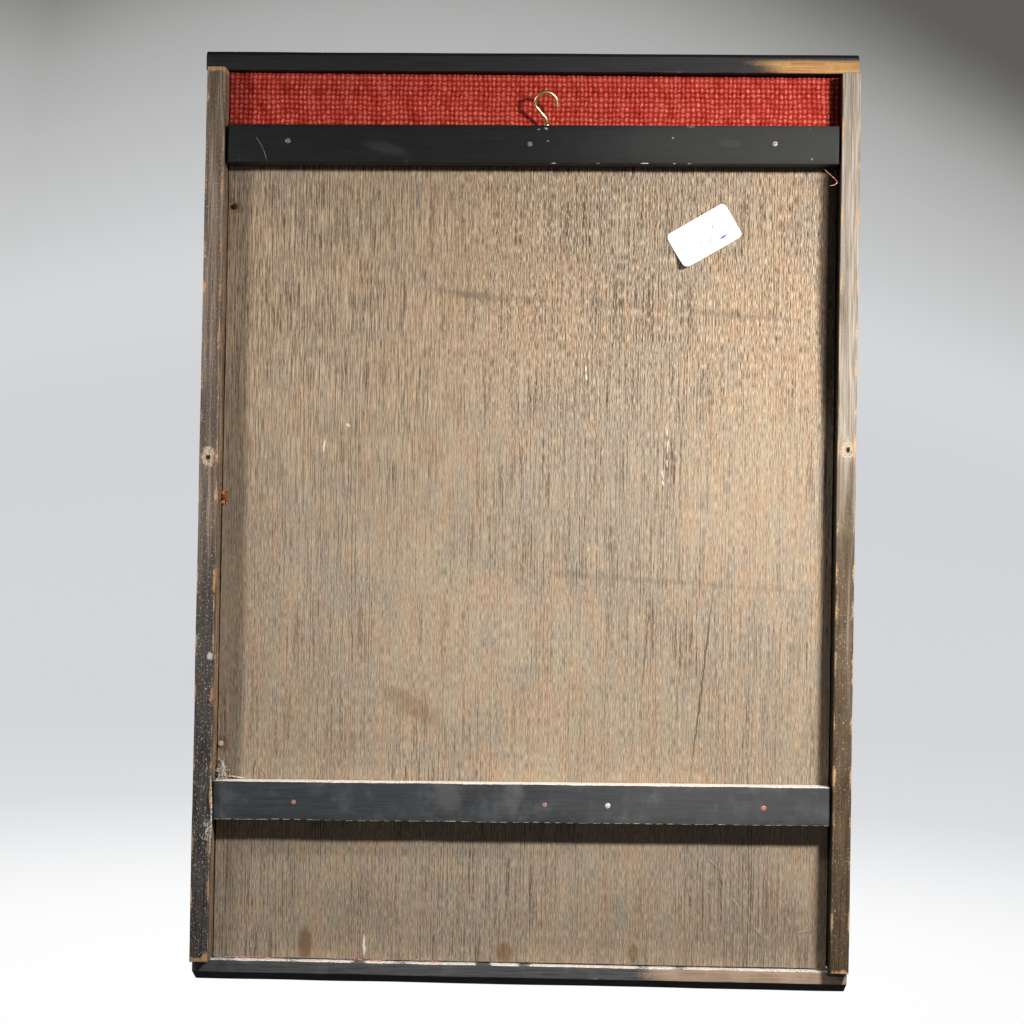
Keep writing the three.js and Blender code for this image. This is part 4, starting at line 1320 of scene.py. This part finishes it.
# Stage: floor and backdrop in one sweep, and studio lights
def glowing_paper():
    """A studio's pale paper sweep that glows by itself with no lamp, its light painted on: white round the
    work's foot, pale grey beyond, and darker high up, most of all in the far corners. It glows by reach,
    the distance from the foot in metres, plus side_share · X and corner_share · X², which is held at widest."""
    side_share, corner_share, widest, farthest = -0.17, 0.2, 2.2, 6.0
    material, tree = new_finish("pale_studio_paper")
    place = add(tree, "TexCoord").outputs["Object"]
    foot = (MIDDLE_X * MM, 0, FOOT_Z * MM)
    reach = add(tree, "VectorMath", [place, foot], operation="DISTANCE").outputs["Value"]
    aside = add(tree, "SeparateXYZ", [place]).outputs["X"]
    reach = scaled(tree, aside, side_share, reach)
    corner = math_of(tree, "MINIMUM", product(tree, aside, aside), widest)
    reach = scaled(tree, corner, corner_share, reach)
    reach = add(tree, "MapRange", [reach, 0.0, farthest, 0.0, 1.0])
    glow = add(tree, "ValToRGB", [reach], stops=(
        (0.0, "#ffffff"), (0.075, "#ffffff"), (0.14, "#e9eaec"), (0.2, "#dbdde0"), (0.4, "#d2d4d8"),
        (0.62, "#d5d7da"), (0.75, "#ced0d3"), (0.815, "#d8dadc"), (0.86, "#cccdce"), (0.91, "#b8b8b8"),
        (0.94, "#acacab"), (0.965, "#8c8c8b"), (0.985, "#6c6b6a"), (1.0, "#5c5b5a")))
    glow.color_ramp.interpolation = "B_SPLINE"
    # painted light: the paper is an emitter, not a lit surface
    shine = add(tree, "Emission", {"Color": glow, "Strength": 1.0})
    add(tree, "OutputMaterial", {"Surface": shine})
    material.cycles.emission_sampling = "NONE"
    return material


def make_stage():
    """A pale floor that curves up into a wall all round: a disc, a quarter turn and an upright, turned
    about the work's middle. Its sizes are in metres, and it lies a gap below the work's foot."""
    floor_r, fillet, wall_h, gap, sides = 2.6, 3.0, 3.0, 0.0005, 96
    angle = np.linspace(0, 2 * np.pi, sides, endpoint=False)
    turn = np.linspace(0, np.pi / 2, 32)
    disc = [0.0005, 0.5, 1.2, 2.0]
    radius = np.concatenate([disc, floor_r + fillet * np.sin(turn), [floor_r + fillet]])
    height = np.concatenate([np.zeros(len(disc)), fillet * (1 - np.cos(turn)), [wall_h + fillet]])
    rings = np.stack([
        radius[:, None] * np.cos(angle) + MIDDLE_X * MM,
        radius[:, None] * np.sin(angle),
        np.broadcast_to(height[:, None], (len(height), sides)) + FOOT_Z * MM - gap,
    ], -1)
    index = np.arange(len(radius) * sides).reshape(-1, sides)
    after = np.roll(index, -1, 1)
    faces = np.stack([index[:-1], index[1:], after[1:], after[:-1]], -1).reshape(-1, 4).tolist()
    faces.append(index[0].tolist())
    mesh = bpy.data.meshes.new("studio_sweep")
    mesh.from_pydata(rings.reshape(-1, 3).tolist(), [], faces)
    mesh.polygons.foreach_set("use_smooth", np.ones(len(mesh.polygons), bool))
    mesh.materials.append(glowing_paper())
    sweep = bpy.data.objects.new("studio_sweep", mesh)
    sweep.visible_shadow = False
    sweep.visible_diffuse = False
    sweep.visible_glossy = False
    bpy.context.scene.collection.objects.link(sweep)


def add_light(name, place, towards, width, height, watts, spread=180):
    """A soft panel light. Its place, what it looks towards and its sides are in millimetres, and spread
    is its cone in degrees."""
    data = bpy.data.lights.new(name, "AREA")
    data.shape = "RECTANGLE"
    data.size, data.size_y = width * MM, height * MM
    data.energy = watts
    data.spread = math.radians(spread)
    lamp = bpy.data.objects.new(name, data)
    bpy.context.scene.collection.objects.link(lamp)
    lamp.location = Vector(place) * MM
    lamp.rotation_mode = "QUATERNION"
    lamp.rotation_quaternion = (Vector(towards) - Vector(place)).to_track_quat("-Z", "Y")
    lamp.visible_camera = False


def light_studio():
    """Two small panels behind the work: the key at the picture's right, level with the work's head, and a
    weaker one close by at the left. Both are above the battens, whose shadows so grow longer downwards.
    A broad, weak one stands for the light that the floor sends back up. One more lights the carved side,
    and the surround is faint, so that shadows beside the bars stay nearly black."""
    board_y = -17
    add_light("right_key", (-398, 523, 55), (-60, board_y, -400), 110, 60, watts=3.2, spread=100)
    add_light("left_fill", (440, 295, 0), (120, board_y, -400), 60, 60, watts=0.72, spread=112)
    add_light("floor_bounce", (0, 700, -900), (0, board_y, -450), 900, 500, watts=0.65)
    add_light("face_panel", (900, -2200, 900), (MIDDLE_X, board_y, -300), 1200, 1200, watts=60)
    world = bpy.data.worlds.new("studio_surround")
    world.use_nodes = True
    surround = world.node_tree.nodes["Background"]
    surround.inputs["Color"].default_value = to_linear("#f2f4f8")
    surround.inputs["Strength"].default_value = 0.025
    bpy.context.scene.world = world
    bpy.context.scene.view_settings.view_transform = "Standard"


# Assembly
place_camera()
make_stage()
light_studio()

# The timbers, each with a dark and a light colour for its stain, its rubbed stain and its bare wood. Their
# marks are paint spots, scratches, scuffs and chips, and on each batten one broad faint pale patch that is a
# painted sheen: X, Z, length, width, turn and strength.
top_timber = stained_timber(
    "black_stained_rail_softwood", "X",
    stain=("#171717", "#262525"), worn=("#5d5650", "#857b72"), bare=("#8f6234", "#c89a62"),
    cloud_colour="#262626", fade=2.2, flecks=0.15, streaky=0.28)
foot_timber = stained_timber(
    "scuffed_stained_rail_softwood", "X",
    stain=("#3b3b3c", "#5a5958"), worn=("#6d665f", "#958b82"), bare=("#826b59", "#bda28a"),
    cloud_colour="#6c6c6c", fade=1.5, streaky=0.4, relief=0.25)
left_timber = stained_timber(
    "grey_worn_stile_softwood", "Z",
    stain=("#3a2e20", "#63503a"), worn=("#6f6355", "#a89c8c"), bare=("#9d7650", "#d3ab80"),
    cloud_colour="#705f44", knots=True, flecks=0.6, fleck_from=0.6, sheen=0.2)
right_timber = stained_timber(
    "brown_worn_stile_softwood", "Z",
    stain=("#262422", "#4f4a45"), worn=("#4e4035", "#917d6c"), bare=("#906a4a", "#c59c76"),
    marks_and_sheen=[(214.8, -372.1, 4.6, 3.4, 60, 1.0), (211.8, -379, 1.6, 1.2, 0, 0.8)],
    cloud_colour="#56524a", knots=True, flecks=0.75, fleck_from=0.58, sheen=0.2, ragged_marks=1.6)
batten_timber = stained_timber(
    "black_stained_batten_softwood", "X",
    stain=("#0b0c0c", "#151617"), worn=("#45474a", "#5c5e61"), bare=("#8c8378", "#cdc5b9"),
    marks_and_sheen=[
        (188.2, -34.0, 9, 0.5, 58, 0.26),
        (184.6, -41.2, 8, 0.5, 72, 0.32),
        (105, -36.8, 26, 7, 12, 0.03),
        (-121, -31.5, 20, 7, 8, 0.05),
        # painted sheen: a broad faint pale patch on the half nearer the key lamp
        (-130, -33, 190, 40, 0, 0.032),
        (-174.3, -41.1, 1.1, 0.9, 0, 0.55),
        (-0.2, -23.0, 2.4, 1.1, 20, 0.75),
        (4.6, -23.6, 1.6, 0.9, 0, 0.5),
        (-1.5, -31.0, 1.6, 0.6, 0, 0.5),
        (-83.4, -28.2, 1.3, 0.9, 20, 0.7),
    ], cloud_colour="#1b1c1d", flecks=0.1, sheen=0.22, relief=0.15)
dusty_timber = stained_timber(
    "dusty_black_batten_softwood", "X",
    stain=("#303132", "#3d3e40"), worn=("#45474a", "#5c5e61"), bare=("#8c8378", "#cdc5b9"),
    marks_and_sheen=[
        (57.5, -461.5, 20, 17, 80, 0.09),
        (16, -462, 22, 13, 90, 0.06),
        (-30, -463, 50, 20, 0, 0.025),
        # painted sheen: a broad faint pale patch on the half nearer the key lamp
        (-118, -464, 170, 30, 0, 0.05),
    ], cloud_colour="#5f6062", flecks=0.2, relief=0.12, ragged_marks=4.0)

make_top_rail(top_timber)
make_bottom_rail(foot_timber)
make_stiles(left_timber, right_timber)
make_battens(batten_timber, dusty_timber)
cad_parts["back_panel"].data.materials.clear()
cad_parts["back_panel"].data.materials.append(raw_plywood())
make_hessian(red_hessian())
make_nails()
make_hook(drawn_brass())
make_label(label_paper())
make_spray(carved_timber())
make_loose_fibres()
